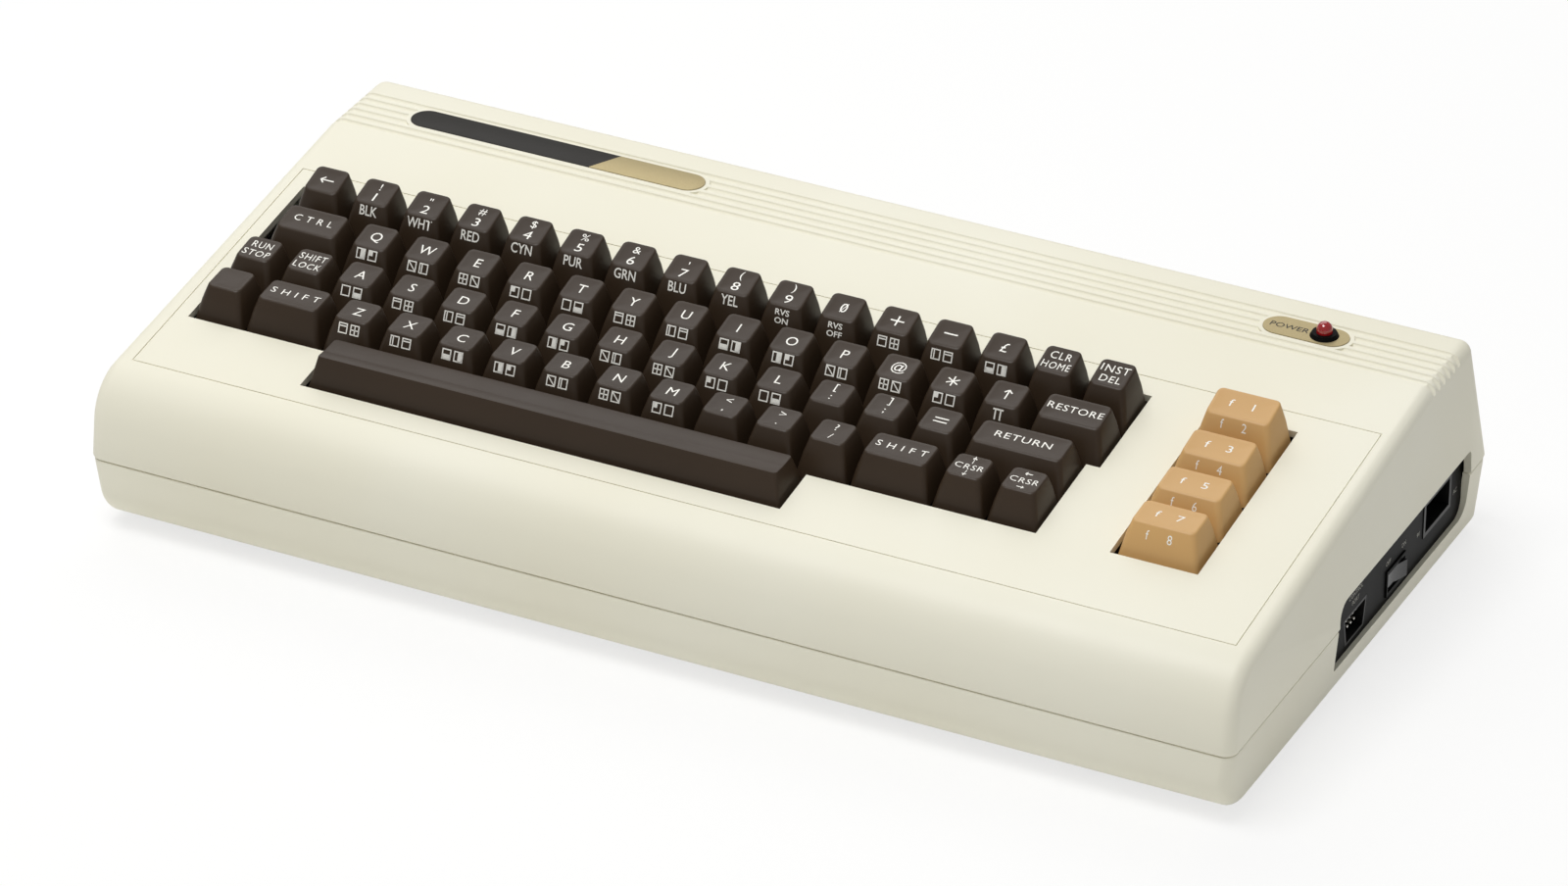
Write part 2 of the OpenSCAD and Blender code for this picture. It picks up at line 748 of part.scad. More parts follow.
// The ribbon from the keyboard's board down to the main board, bent from one strip.
module keyboard_cable() {
    t = 0.8;
    w = 46;
    x = -120;
    y0 = kink_y + (kb_board_s1 - 3) * cos(slope);
    z0 = deck_h + (kb_board_s1 - 3) * sin(slope) + (kb_board_h - pcb_t) / cos(slope) - seat;
    y1 = y0 - 14;
    z1 = board_top + header_h + seat;
    color("#8d8f92")
    translate([x - w / 2, 0, 0])
        rotate([90, 0, 90])
            linear_extrude(w)
                polygon([[y0 - 5, z0 - 0.9], [y0, z0 - 0.2], [y0 + 6, z0 - 5], [y0 + 6, z0 - 14],
                         [y1 + 4, z1 + 9], [y1, z1 + 5], [y1, z1],
                         [y1 - t, z1], [y1 - t, z1 + 5.5], [y1 + 4 - t, z1 + 9.6],
                         [y0 + 6 - t, z0 - 13.4], [y0 + 6 - t, z0 - 5.4], [y0, z0 - 1.2],
                         [y0 - 5, z0 - 1.9]]);
}

// ---- the main board ----

module main_board() {
    x0 = -case_w / 2 + 14;
    x1 = body_x - 2;
    tongue = 6;
    color("#2f6a45")
    difference() {
        union() {
            block([x0, board_y0, board_z], [x1, board_y1, board_top]);
            for (x = [tape_x, user_x])
                block([x[0] + 3, board_y1 - eps, board_z], [x[1] - 3, board_y1 + tongue, board_top]);
        }
        for (p = board_screws)
            translate([p[0], p[1], board_z - 1]) cylinder(r = screw_r + 0.1, h = pcb_t + 2, $fn = fine);
    }
}

// Chips in their rows, the cable's header and the big capacitors.
module board_parts() {
    chips = [[-150, -40, 52, 15], [-150, -14, 52, 15], [-86, -40, 52, 15], [-86, -14, 52, 15],
             [-22, -40, 32, 9], [-22, -22, 32, 9], [-22, -4, 32, 9], [22, -40, 32, 9],
             [22, -22, 32, 9], [22, -4, 32, 9], [66, -40, 20, 8], [66, -22, 20, 8],
             [66, -4, 20, 8], [-60, 44, 32, 9], [-10, 44, 32, 9]];
    cable_y = kink_y + (kb_board_s1 - 3) * cos(slope) - 14.4;
    color("#232425") {
        for (c = chips) translate([c[0], c[1], board_top]) cube([c[2], c[3], 4.2]);
        translate([-145, cable_y - 2.5, board_top]) cube([50, 5, header_h]);
        for (x = [124, 142]) translate([x, 30, board_top]) cylinder(r = 6.5, h = 20, $fn = fine);
    }
}

// A finned sink on the supply's regulator.
module heat_sink() {
    l = 44;
    color("#b4b6b8")
    translate([112, -50, board_top]) {
        cube([l, 30, 2.5]);
        for (i = [0 : 5]) translate([0, i * 5.5, 0]) cube([l, 2, 14]);
    }
}

// The edge socket for cartridges, at the rear.
module cartridge_slot() {
    x0 = slot_x[0] + 4;
    x1 = slot_x[1] - 4;
    color("#2a2b2d")
    difference() {
        block([x0, board_y1 - 12, board_top], [x1, board_y1 + 1, board_top + 11]);
        block([x0 + 4, board_y1 - 7, board_top + 4.6], [x1 - 4, board_y1 + 2, board_top + 6.6]);
    }
}

// Two round sockets, each with its pins on an arc.
module din_sockets() {
    color("#3a3b3d")
    for (k = [0, 1]) {
        n = 5 + k;
        translate([din_x[k], board_y1 + 1, din_z]) {
            rotate([90, 0, 0])
                difference() {
                    union() {
                        translate([-9, board_top - din_z, 0]) cube([18, din_z - board_top + 7.8, 13]);
                        cylinder(r = 7.8, h = 13, $fn = 48);
                    }
                    translate([0, 0, -1]) cylinder(r = 6.7, h = 10, $fn = 48);
                }
            for (i = [0 : n - 1])
                rotate([0, 180 + (i - (n - 1) / 2) * 45, 0])
                    translate([0, 0, 4.6])
                        rotate([90, 0, 0]) translate([0, 0, 1.5]) cylinder(r = 0.7, h = 8, $fn = 16);
        }
    }
}

// ---- the side panel ----

// The control port's outline, seen from the right: wider above than below.
module dee(w, h, lean_in) {
    polygon([[-w / 2, h / 2], [w / 2, h / 2],
             [w / 2 - lean_in, -h / 2], [-w / 2 + lean_in, -h / 2]]);
}

// Stands a flat shape in the panel's plane: its x along +Y, its y up.
module on_panel(x, y, z) {
    translate([x, y, z]) rotate([90, 0, 90]) children();
}

module side_panel() {
    top = port_z1 + 1.6;
    color("#2a2928")
    difference() {
        block([body_x, port_y0 - 2, port_z0 - 1.3], [panel_x, port_y1 + 2, top]);
        on_panel(body_x - 1, joy_y, socket_z)
            linear_extrude(panel_t + 2) dee(dee_w + 0.4, dee_h + 0.4, dee_lean);
        block([body_x - 1, switch_y - switch_w / 2 - 0.2, socket_z - switch_h / 2 - 0.2],
              [panel_x + 1, switch_y + switch_w / 2 + 0.2, socket_z + switch_h / 2 + 0.2]);
        block([body_x - 1, inlet_y - inlet_w / 2 - 0.2, inlet_z - inlet_h / 2 - 0.2],
              [panel_x + 1, inlet_y + inlet_w / 2 + 0.2, inlet_z + inlet_h / 2 + 0.2]);
    }
}

module control_port() {
    depth = 9;
    color("#1d1d1e") {
        difference() {
            union() {
                block([body_x - depth - 3, joy_y - 15.5, board_top],
                      [body_x - seat, joy_y + 15.5, socket_z + 6.4]);
                on_panel(body_x - 4, joy_y, socket_z)
                    linear_extrude(4 + panel_t) dee(dee_w, dee_h, dee_lean);
            }
            on_panel(body_x - depth, joy_y, socket_z)
                linear_extrude(depth + 4) dee(dee_w - 1.8, dee_h - 1.8, dee_lean);
        }
        for (row = [0, 1], i = [0 : 4 - row])
            on_panel(body_x - depth - 1, joy_y + (i - (4 - row) / 2) * 2.76, socket_z + 1.42 - row * 2.84)
                cylinder(r = 0.5, h = depth + 0.6, $fn = 16);
    }
}

module power_switch() {
    z0 = socket_z - switch_h / 2;
    z1 = socket_z + switch_h / 2;
    color("#1b1b1c")
    difference() {
        union() {
            block([body_x - 13, switch_y - switch_w / 2, z0], [panel_x + 0.6, switch_y + switch_w / 2, z1]);
            block([body_x - 12, switch_y - 5, board_top], [body_x - 2, switch_y + 5, z0 + eps]);
        }
        block([body_x - 9, switch_y - rocker_l / 2 - 0.7, socket_z - rocker_w / 2 - 0.35],
              [panel_x + 2, switch_y + rocker_l / 2 + 0.7, socket_z + rocker_w / 2 + 0.35]);
        translate([rocker_x, switch_y, z0 + 0.6])
            cylinder(r = pin_r + 0.05, h = switch_h - 1.2, $fn = fine);
    }
}

// The rocker, drawn with its front end pressed in: off.
module power_rocker() {
    reach = panel_x + 1.4 - rocker_x;
    color("#151516")
    translate([rocker_x, switch_y, socket_z]) {
        rotate([0, 0, -rocker_swing / 2])
            translate([0, 0, -rocker_w / 2])
                linear_extrude(rocker_w)
                    polygon([[-2.4, -2.4], [-1, -rocker_l / 2 + 0.6], [reach - 0.4, -rocker_l / 2],
                             [reach - 1.5, 0], [reach - 0.4, rocker_l / 2],
                             [-1, rocker_l / 2 - 0.6], [-2.4, 2.4]]);
        translate([0, 0, -switch_h / 2 + 0.9]) cylinder(r = pin_r, h = switch_h - 1.8, $fn = fine);
    }
}

module power_inlet() {
    z0 = inlet_z - inlet_h / 2;
    y0 = inlet_y - inlet_w / 2;
    y1 = inlet_y + inlet_w / 2;
    color("#1d1d1e") {
        difference() {
            union() {
                block([body_x - 20, y0, z0], [panel_x + 0.3, y1, z0 + inlet_h]);
                block([body_x - 20, y0 + 2, board_top], [body_x - 6, y1 - 2, z0 + eps]);
            }
            block([body_x - 15, y0 + 1.5, z0 + 1.5], [panel_x + 2, y1 - 1.5, z0 + inlet_h - 1.5]);
        }
        for (s = [-1, 1])
            on_panel(body_x - 16, inlet_y + s * 5, inlet_z) cylinder(r = 1.2, h = 11, $fn = 24);
    }
}

// ---- screws ----

// A pan-head screw, its head's underside at z = 0 and its shank downwards.
module screw(l) {
    cylinder(r = head_r, h = head_t, $fn = fine);
    translate([0, 0, -l]) cylinder(r = screw_r, h = l + eps, $fn = fine);
}

module screws() {
    color("#a9abad") {
        for (p = concat(case_screws, rear_screws))
            translate([p[0], p[1], post_z - 8]) rotate([180, 0, 0]) screw(19);
        for (p = board_screws) translate([p[0], p[1], board_top]) screw(6);
        on_slope()
            for (p = kb_posts)
                translate([p[0], p[1], kb_board_h - pcb_t]) rotate([180, 0, 0]) screw(17);
    }
}

top_case();
bottom_case();
badge();
lamp_plate();
power_lamp();
lamp_bezel();
keyboard_frame();
keyboard_board();
key_springs();
keyboard_cable();
main_board();
board_parts();
heat_sink();
side_panel();
control_port();
power_switch();
power_rocker();
power_inlet();
cartridge_slot();
din_sockets();
screws();
rubber_feet();
space_bar();
for (k = all_caps)
    key_group(k);
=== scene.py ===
"""The looks of a vintage home computer, built around its packed construction model."""

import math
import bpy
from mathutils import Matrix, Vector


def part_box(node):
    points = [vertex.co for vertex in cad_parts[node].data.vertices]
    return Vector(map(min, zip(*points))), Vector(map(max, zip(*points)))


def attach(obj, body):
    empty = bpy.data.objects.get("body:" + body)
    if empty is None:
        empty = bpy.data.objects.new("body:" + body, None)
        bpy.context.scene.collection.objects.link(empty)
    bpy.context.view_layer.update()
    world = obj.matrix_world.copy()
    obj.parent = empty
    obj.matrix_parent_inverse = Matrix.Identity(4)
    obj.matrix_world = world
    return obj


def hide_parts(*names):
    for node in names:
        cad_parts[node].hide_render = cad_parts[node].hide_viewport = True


bl_info = {
    "name": "Vintage Home Computer",
    "version": (1, 0, 0),
    "blender": (4, 5, 0),
    "location": "View3D > Sidebar > Home Computer",
    "description": "Models the caps, legends, plates and case finish of a one-piece home computer",
    "category": "Object",
}

import bmesh
import bpy
from bpy.props import FloatProperty, PointerProperty, StringProperty
from mathutils import Matrix, Vector

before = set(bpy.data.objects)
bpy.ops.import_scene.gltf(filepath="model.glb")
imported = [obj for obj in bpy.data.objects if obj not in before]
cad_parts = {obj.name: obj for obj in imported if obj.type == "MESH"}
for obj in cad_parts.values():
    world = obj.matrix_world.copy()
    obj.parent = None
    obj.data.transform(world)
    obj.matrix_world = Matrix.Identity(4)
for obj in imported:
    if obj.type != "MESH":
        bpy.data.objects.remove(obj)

MM = 0.001
SLOPE = math.radians(7.8)
KINK_Y, DECK_H = 0.0548, 0.0758
PITCH = 19.05
GRID_X, GRID_S = -185.2, 38.0
ROW_H = (11.6, 8.8, 8.0, 8.6)
ROW_TILT = (9, 5, 1, -2)
SLOPE_FRAME = Matrix.Translation((0, KINK_Y, DECK_H)) @ Matrix.Rotation(SLOPE, 4, "X")
BAR_X, BAR_UNITS, BAR_H = -51.28, 9, 8.6
SEAM_H, SEAM_GAP = 26.8, 0.3
HALF_W, HALF_D = 0.2028, 0.1045

# the camera that took the photograph, fitted to the construction's corners
CAMERA_AT = (0.99317, -2.02372, 1.35251)
CAMERA_RIGHT = (0.896129, 0.443768, 0.004719)
CAMERA_UP = (-0.228037, 0.451316, 0.862736)
CAMERA_BACK = (0.380725, -0.774199, 0.505633)
CAMERA_LENS, CAMERA_SENSOR = 184.408, 36.0

# the side panel: its outer face, then the sockets' middles, pins and words in mm
PANEL_X = 0.1995
PORT_Y, PORT_Z, PORT_PITCH, PORT_ROW = 0.5, 18.1, 2.76, 2.84
PORT_PIN = (0.56, 0.1886, 0.1978)
INLET_Y, INLET_Z, INLET_SPREAD = 67.9, 25.3, 5
INLET_PIN = (1.26, 0.182, 0.1934)
PANEL_WORD_H = 1.7
PANEL_WORDS = (("CONTROL", 0.5, 29.3), ("PORT", 0.5, 26.4), ("OFF", 27.4, 25.6), ("ON", 40.2, 25.6),
               ("9V", 52.6, 22.4), ("AC", 83.6, 22.4))

# where the plate's lacquer ends: a share of its length past the middle, and the end's lean
PLATE_SPLIT, PLATE_LEAN = 0.165, 0.55

# node, row, first unit, width in units, then one entry for each cap:
# (main legend, shifted legend, front legend); "#n" is a pair of small squares.
KEYS = (
    ("keys_arrow_1_2", 0, 0, 1, (("←", "", ""), ("1", "!", "BLK"), ("2", '"', "WHT"))),
    ("keys_3_4", 0, 3, 1, (("3", "#", "RED"), ("4", "$", "CYN"))),
    ("keys_5_6", 0, 5, 1, (("5", "%", "PUR"), ("6", "&", "GRN"))),
    ("keys_7_8", 0, 7, 1, (("7", "'", "BLU"), ("8", "(", "YEL"))),
    ("keys_9_0", 0, 9, 1, (("9", ")", "RVS\nON"), ("0", "", "RVS\nOFF"))),
    ("keys_plus_minus", 0, 11, 1, (("+", "", "#0"), ("−", "", "#1"))),
    ("keys_pound_home_delete", 0, 13, 1, (("£", "", "#2"), ("CLR\nHOME", "", ""), ("INST\nDEL", "", ""))),
    ("key_ctrl", 1, 0, 1.5, (("C T R L", "", ""),)),
    ("keys_q_w", 1, 1.5, 1, (("Q", "", "#3"), ("W", "", "#4"))),
    ("keys_e_r", 1, 3.5, 1, (("E", "", "#5"), ("R", "", "#6"))),
    ("keys_t_y", 1, 5.5, 1, (("T", "", "#7"), ("Y", "", "#8"))),
    ("keys_u_i", 1, 7.5, 1, (("U", "", "#9"), ("I", "", "#10"))),
    ("keys_o_p", 1, 9.5, 1, (("O", "", "#11"), ("P", "", "#12"))),
    ("keys_at_star_up", 1, 11.5, 1, (("@", "", "#13"), ("*", "", "#14"), ("↑", "", "π"))),
    ("key_restore", 1, 14.5, 1.5, (("RESTORE", "", ""),)),
    ("key_run_stop", 2, -0.25, 1, (("RUN\nSTOP", "", ""),)),
    ("key_shift_lock", 2, 0.75, 1, (("SHIFT\nLOCK", "", ""),)),
    ("keys_a_s", 2, 1.75, 1, (("A", "", "#15"), ("S", "", "#16"))),
    ("keys_d_f", 2, 3.75, 1, (("D", "", "#17"), ("F", "", "#18"))),
    ("keys_g_h", 2, 5.75, 1, (("G", "", "#19"), ("H", "", "#20"))),
    ("keys_j_k", 2, 7.75, 1, (("J", "", "#21"), ("K", "", "#22"))),
    ("keys_l_colon", 2, 9.75, 1, (("L", "", "#23"), (":", "[", ""))),
    ("keys_semicolon_equals", 2, 11.75, 1, ((";", "]", ""), ("=", "", ""))),
    ("key_return", 2, 13.75, 2, (("RETURN", "", ""),)),
    ("key_blank", 3, -0.25, 1, (("", "", ""),)),
    ("key_shift_left", 3, 0.75, 1.5, (("S H I F T", "", ""),)),
    ("keys_z_x", 3, 2.25, 1, (("Z", "", "#24"), ("X", "", "#25"))),
    ("keys_c_v", 3, 4.25, 1, (("C", "", "#26"), ("V", "", "#27"))),
    ("keys_b_n", 3, 6.25, 1, (("B", "", "#28"), ("N", "", "#29"))),
    ("keys_m_comma", 3, 8.25, 1, (("M", "", "#30"), (",", "<", ""))),
    ("keys_point_slash", 3, 10.25, 1, ((".", ">", ""), ("/", "?", ""))),
    ("key_shift_right", 3, 12.25, 1.5, (("S H I F T", "", ""),)),
    ("keys_cursor", 3, 13.75, 1, (("↑\nCRSR\n↓", "", ""), ("←\nCRSR\n→", "", ""))),
    ("key_f1", 0, 17.1234, 1.5, (("f  1", "", "f  2"),)),
    ("key_f3", 1, 17.1234, 1.5, (("f  3", "", "f  4"),)),
    ("key_f5", 2, 17.1234, 1.5, (("f  5", "", "f  6"),)),
    ("key_f7", 3, 17.1234, 1.5, (("f  7", "", "f  8"),)),
)


# ---- what a user would change ----

def hex_colour(text):
    """sRGB hex to Blender's linear colour with alpha."""
    parts = [int(text[i:i + 2], 16) / 255 for i in (1, 3, 5)]
    return tuple(c / 12.92 if c <= 0.04045 else ((c + 0.055) / 1.055) ** 2.4 for c in parts) + (1.0,)


class StageSettings(bpy.types.PropertyGroup):
    """The light and the floor."""
    key_light: FloatProperty(name="Soft box", description="Power of the soft box above the table, in watts",
                             default=10.5, min=0)
    sky_light: FloatProperty(name="Room light", description="Strength of the even light from all round",
                             default=0.34, min=0)
    floor_colour: StringProperty(name="Floor", description="Colour of the floor, as sRGB hex", default="#f7f7f5")


class CaseSettings(bpy.types.PropertyGroup):
    """The two case halves."""
    colour: StringProperty(name="Case", description="Colour of the moulded case, as sRGB hex", default="#eae7d6")
    grain: FloatProperty(name="Grain", description="Width of one grain of the mould's spark texture",
                         default=0.0009, min=0.0001, unit="LENGTH", precision=5)
    edge: FloatProperty(name="Edge softness", description="Rounding of the moulded edges",
                        default=0.0004, min=0, unit="LENGTH", precision=5)


class CapSettings(bpy.types.PropertyGroup):
    """The key caps."""
    colour: StringProperty(name="Typing keys", description="Colour of the dark caps, as sRGB hex", default="#372a1d")
    tan: StringProperty(name="Function keys", description="Colour of the tan caps, as sRGB hex", default="#cea468")
    ink: StringProperty(name="Legends", description="Colour of the legends, as sRGB hex", default="#f4f2ea")
    gap: FloatProperty(name="Gap", description="Gap between two caps at their skirts", default=0.00085, unit="LENGTH",
                       precision=5)
    top_width: FloatProperty(name="Top width", description="Width of the dished top of a one-unit cap",
                             default=0.0114, unit="LENGTH", precision=5)
    top_depth: FloatProperty(name="Top depth", description="Depth of the dished top", default=0.0112, unit="LENGTH",
                             precision=5)
    set_back: FloatProperty(name="Set back", description="How far a cap's top lies behind its skirt's middle",
                            default=0.0028, unit="LENGTH", precision=5)
    skirt: FloatProperty(name="Skirt", description="How far the skirt hangs below the deck's face", default=0.0032,
                         unit="LENGTH", precision=5)
    dish: FloatProperty(name="Dish", description="Depth of the dish in the top", default=0.0004, unit="LENGTH",
                        precision=5)


class TrimSettings(bpy.types.PropertyGroup):
    """The name plate, the lamp and the side panel."""
    foil: StringProperty(name="Plate foil", description="Colour of the gold foil, as sRGB hex", default="#bcae88")
    dark: StringProperty(name="Plate lacquer", description="Colour of the plate's dark part, as sRGB hex",
                         default="#2e2c29")
    lamp: StringProperty(name="Lamp", description="Colour of the lamp's lens, as sRGB hex", default="#a3121a")
    lettering: StringProperty(name="Panel lettering", description="Colour of the panel's small words, as sRGB hex",
                              default="#a9a79e")


# ---- small helpers ----

def deselect():
    """Leaves edit mode and deselects everything."""
    if bpy.context.object and bpy.context.object.mode != "OBJECT":
        bpy.ops.object.mode_set(mode="OBJECT")
    bpy.ops.object.select_all(action="DESELECT")


def pick(obj):
    """Makes obj the one selected and active object."""
    deselect()
    obj.select_set(True)
    bpy.context.view_layer.objects.active = obj
    return obj


def edit(obj, mode="VERT"):
    """Opens obj in edit mode with nothing selected."""
    pick(obj)
    bpy.ops.object.mode_set(mode="EDIT")
    bpy.ops.mesh.select_mode(type=mode)
    bpy.ops.mesh.select_all(action="DESELECT")


def choose(obj, kind, test):
    """Selects the faces, edges or corners, in edit mode, for which test is true; returns how many."""
    data = bmesh.from_edit_mesh(obj.data)
    items = data.faces if kind == "FACE" else data.edges if kind == "EDGE" else data.verts
    count = 0
    for item in items:
        yes = bool(test(item))
        item.select_set(yes)
        count += yes
    if kind == "FACE":
        # a face that is left out clears the corners it shares, so the chosen faces are set once more
        for face in data.faces:
            if test(face):
                face.select_set(True)
    data.select_flush_mode()
    bmesh.update_edit_mesh(obj.data)
    return count


def settle(obj, place=Matrix.Identity(4)):
    """Applies obj's own transform and place, so that the object sits at the origin."""
    pick(obj)
    obj.matrix_world = place @ obj.matrix_world
    bpy.ops.object.transform_apply(location=True, rotation=True, scale=True)
    return obj


def outward(obj, angle=35):
    """Merges doubles, turns the normals outward and smooths the soft edges."""
    edit(obj)
    bpy.ops.mesh.select_all(action="SELECT")
    bpy.ops.mesh.remove_doubles(threshold=1e-6)
    bpy.ops.mesh.normals_make_consistent(inside=False)
    bpy.ops.object.mode_set(mode="OBJECT")
    bpy.ops.object.shade_smooth_by_angle(angle=math.radians(angle))
    return obj


def joined(objects, name):
    """Joins objects into one piece with that name."""
    deselect()
    for obj in objects:
        obj.select_set(True)
    bpy.context.view_layer.objects.active = objects[0]
    if len(objects) > 1:
        bpy.ops.object.join()
    made = bpy.context.view_layer.objects.active
    made.name = made.data.name = name
    return made


def twin(obj, place=Matrix.Identity(4)):
    """A copy of obj with its own mesh, put in place."""
    copy = obj.copy()
    copy.data = obj.data.copy()
    bpy.context.scene.collection.objects.link(copy)
    return settle(copy, place)


def cad_copy(node, name):
    """A copy of a CAD node's mesh, merged so that its faces share their edges."""
    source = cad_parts[node]
    mesh = source.data.copy()
    mesh.materials.clear()
    obj = bpy.data.objects.new(name, mesh)
    mesh.name = name
    bpy.context.scene.collection.objects.link(obj)
    edit(obj)
    bpy.ops.mesh.select_all(action="SELECT")
    bpy.ops.mesh.remove_doubles(threshold=2e-6)
    bpy.ops.mesh.customdata_custom_splitnormals_clear()
    bpy.ops.object.mode_set(mode="OBJECT")
    return obj


def coat(obj, material):
    """Gives obj that one material."""
    obj.data.materials.clear()
    obj.data.materials.append(material)
    return obj


def fit(obj, body, nodes=()):
    """Puts a finished piece on its body, in the place of its CAD nodes; a piece without faces is an error."""
    if not obj.data.polygons:
        raise RuntimeError(obj.name + " has no faces")
    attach(obj, body)
    if nodes:
        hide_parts(*nodes)
    return obj


# ---- materials ----

def add_node(tree, kind, settings=None, links=None):
    """Adds a shader node, sets its properties and inputs and links its inputs."""
    made = tree.nodes.new(kind)
    for key, value in (settings or {}).items():
        if isinstance(key, int) or key in made.inputs:
            made.inputs[key].default_value = value
        else:
            setattr(made, key, value)
    for key, source in (links or {}).items():
        tree.links.new(source, made.inputs[key])
    return made


def new_surface(name, settings):
    """A material with a Principled shader; returns the material, its node tree, the shader and object coordinates."""
    material = bpy.data.materials.get(name) or bpy.data.materials.new(name)
    material.use_nodes = True
    tree = material.node_tree
    tree.nodes.clear()
    shader = add_node(tree, "ShaderNodeBsdfPrincipled", settings)
    add_node(tree, "ShaderNodeOutputMaterial", links={"Surface": shader.outputs["BSDF"]})
    place = add_node(tree, "ShaderNodeTexCoord").outputs["Object"]
    return material, tree, shader, place


def moulded(name, hex_text, shade_hex, grain, height, rough=(0.42, 0.55), settings=None):
    """Injection-moulded plastic: an even colour that drifts a little over the part, and the mould's fine texture."""
    base = {"IOR": 1.52, "Roughness": rough[0]}
    base.update(settings or {})
    material, tree, shader, place = new_surface(name, base)
    drift = add_node(tree, "ShaderNodeTexNoise", {"Scale": 9.0, "Detail": 2.0, "Roughness": 0.5}, {"Vector": place})
    ramp = add_node(tree, "ShaderNodeValToRGB", links={0: drift.outputs[0]})
    ramp.color_ramp.elements[0].position, ramp.color_ramp.elements[1].position = 0.3, 0.7
    ramp.color_ramp.elements[0].color = hex_colour(shade_hex)
    ramp.color_ramp.elements[1].color = hex_colour(hex_text)
    tree.links.new(ramp.outputs[0], shader.inputs["Base Color"])
    wear = add_node(tree, "ShaderNodeTexNoise", {"Scale": 60.0, "Detail": 4.0, "Roughness": 0.6}, {"Vector": place})
    gloss = add_node(tree, "ShaderNodeMapRange", {3: rough[0], 4: rough[1]}, {0: wear.outputs[0]})
    tree.links.new(gloss.outputs[0], shader.inputs["Roughness"])
    spark = add_node(tree, "ShaderNodeTexNoise", {"Scale": 1 / grain, "Detail": 3.0, "Roughness": 0.6},
                     {"Vector": place})
    bump = add_node(tree, "ShaderNodeBump", {"Strength": 0.6, "Distance": height}, {"Height": spark.outputs[0]})
    tree.links.new(bump.outputs[0], shader.inputs["Normal"])
    return material


def metal(name, hex_text, rough, scratch=0.0004, height=0.00002):
    """Bare or plated metal with a fine drawn or tumbled grain."""
    material, tree, shader, place = new_surface(
        name, {"Base Color": hex_colour(hex_text), "Metallic": 1.0, "Roughness": rough})
    grain = add_node(tree, "ShaderNodeTexNoise", {"Scale": 1 / scratch, "Detail": 3.0}, {"Vector": place})
    gloss = add_node(tree, "ShaderNodeMapRange", {3: rough * 0.8, 4: rough * 1.3}, {0: grain.outputs[0]})
    tree.links.new(gloss.outputs[0], shader.inputs["Roughness"])
    bump = add_node(tree, "ShaderNodeBump", {"Strength": 0.4, "Distance": height}, {"Height": grain.outputs[0]})
    tree.links.new(bump.outputs[0], shader.inputs["Normal"])
    return material


def ink(name, hex_text, rough=0.5):
    """Screened ink: an even matt film with slightly uneven cover."""
    material, tree, shader, place = new_surface(name, {"Roughness": rough, "IOR": 1.48})
    cover = add_node(tree, "ShaderNodeTexNoise", {"Scale": 1600.0, "Detail": 2.0}, {"Vector": place})
    ramp = add_node(tree, "ShaderNodeValToRGB", links={0: cover.outputs[0]})
    full = hex_colour(hex_text)
    ramp.color_ramp.elements[0].position, ramp.color_ramp.elements[1].position = 0.25, 0.5
    ramp.color_ramp.elements[0].color = tuple(c * 0.86 for c in full[:3]) + (1.0,)
    ramp.color_ramp.elements[1].color = full
    tree.links.new(ramp.outputs[0], shader.inputs["Base Color"])
    return material


def board_laminate():
    """Glass-epoxy circuit board: green solder mask over tracks that show as slightly raised, lighter lines."""
    material, tree, shader, place = new_surface("glass_epoxy_board_masked", {"Roughness": 0.35, "IOR": 1.5})
    tracks = add_node(tree, "ShaderNodeTexBrick", {"Scale": 160.0, "Mortar Size": 0.03, "Brick Width": 0.9,
                                                   "Row Height": 0.3, "Color1": hex_colour("#2c6b41"),
                                                   "Color2": hex_colour("#2c6b41"), "Mortar": hex_colour("#4c8f5a")},
                      {"Vector": place})
    tree.links.new(tracks.outputs[0], shader.inputs["Base Color"])
    bump = add_node(tree, "ShaderNodeBump", {"Strength": 0.5, "Distance": 0.00004}, {"Height": tracks.outputs[1]})
    tree.links.new(bump.outputs[0], shader.inputs["Normal"])
    return material


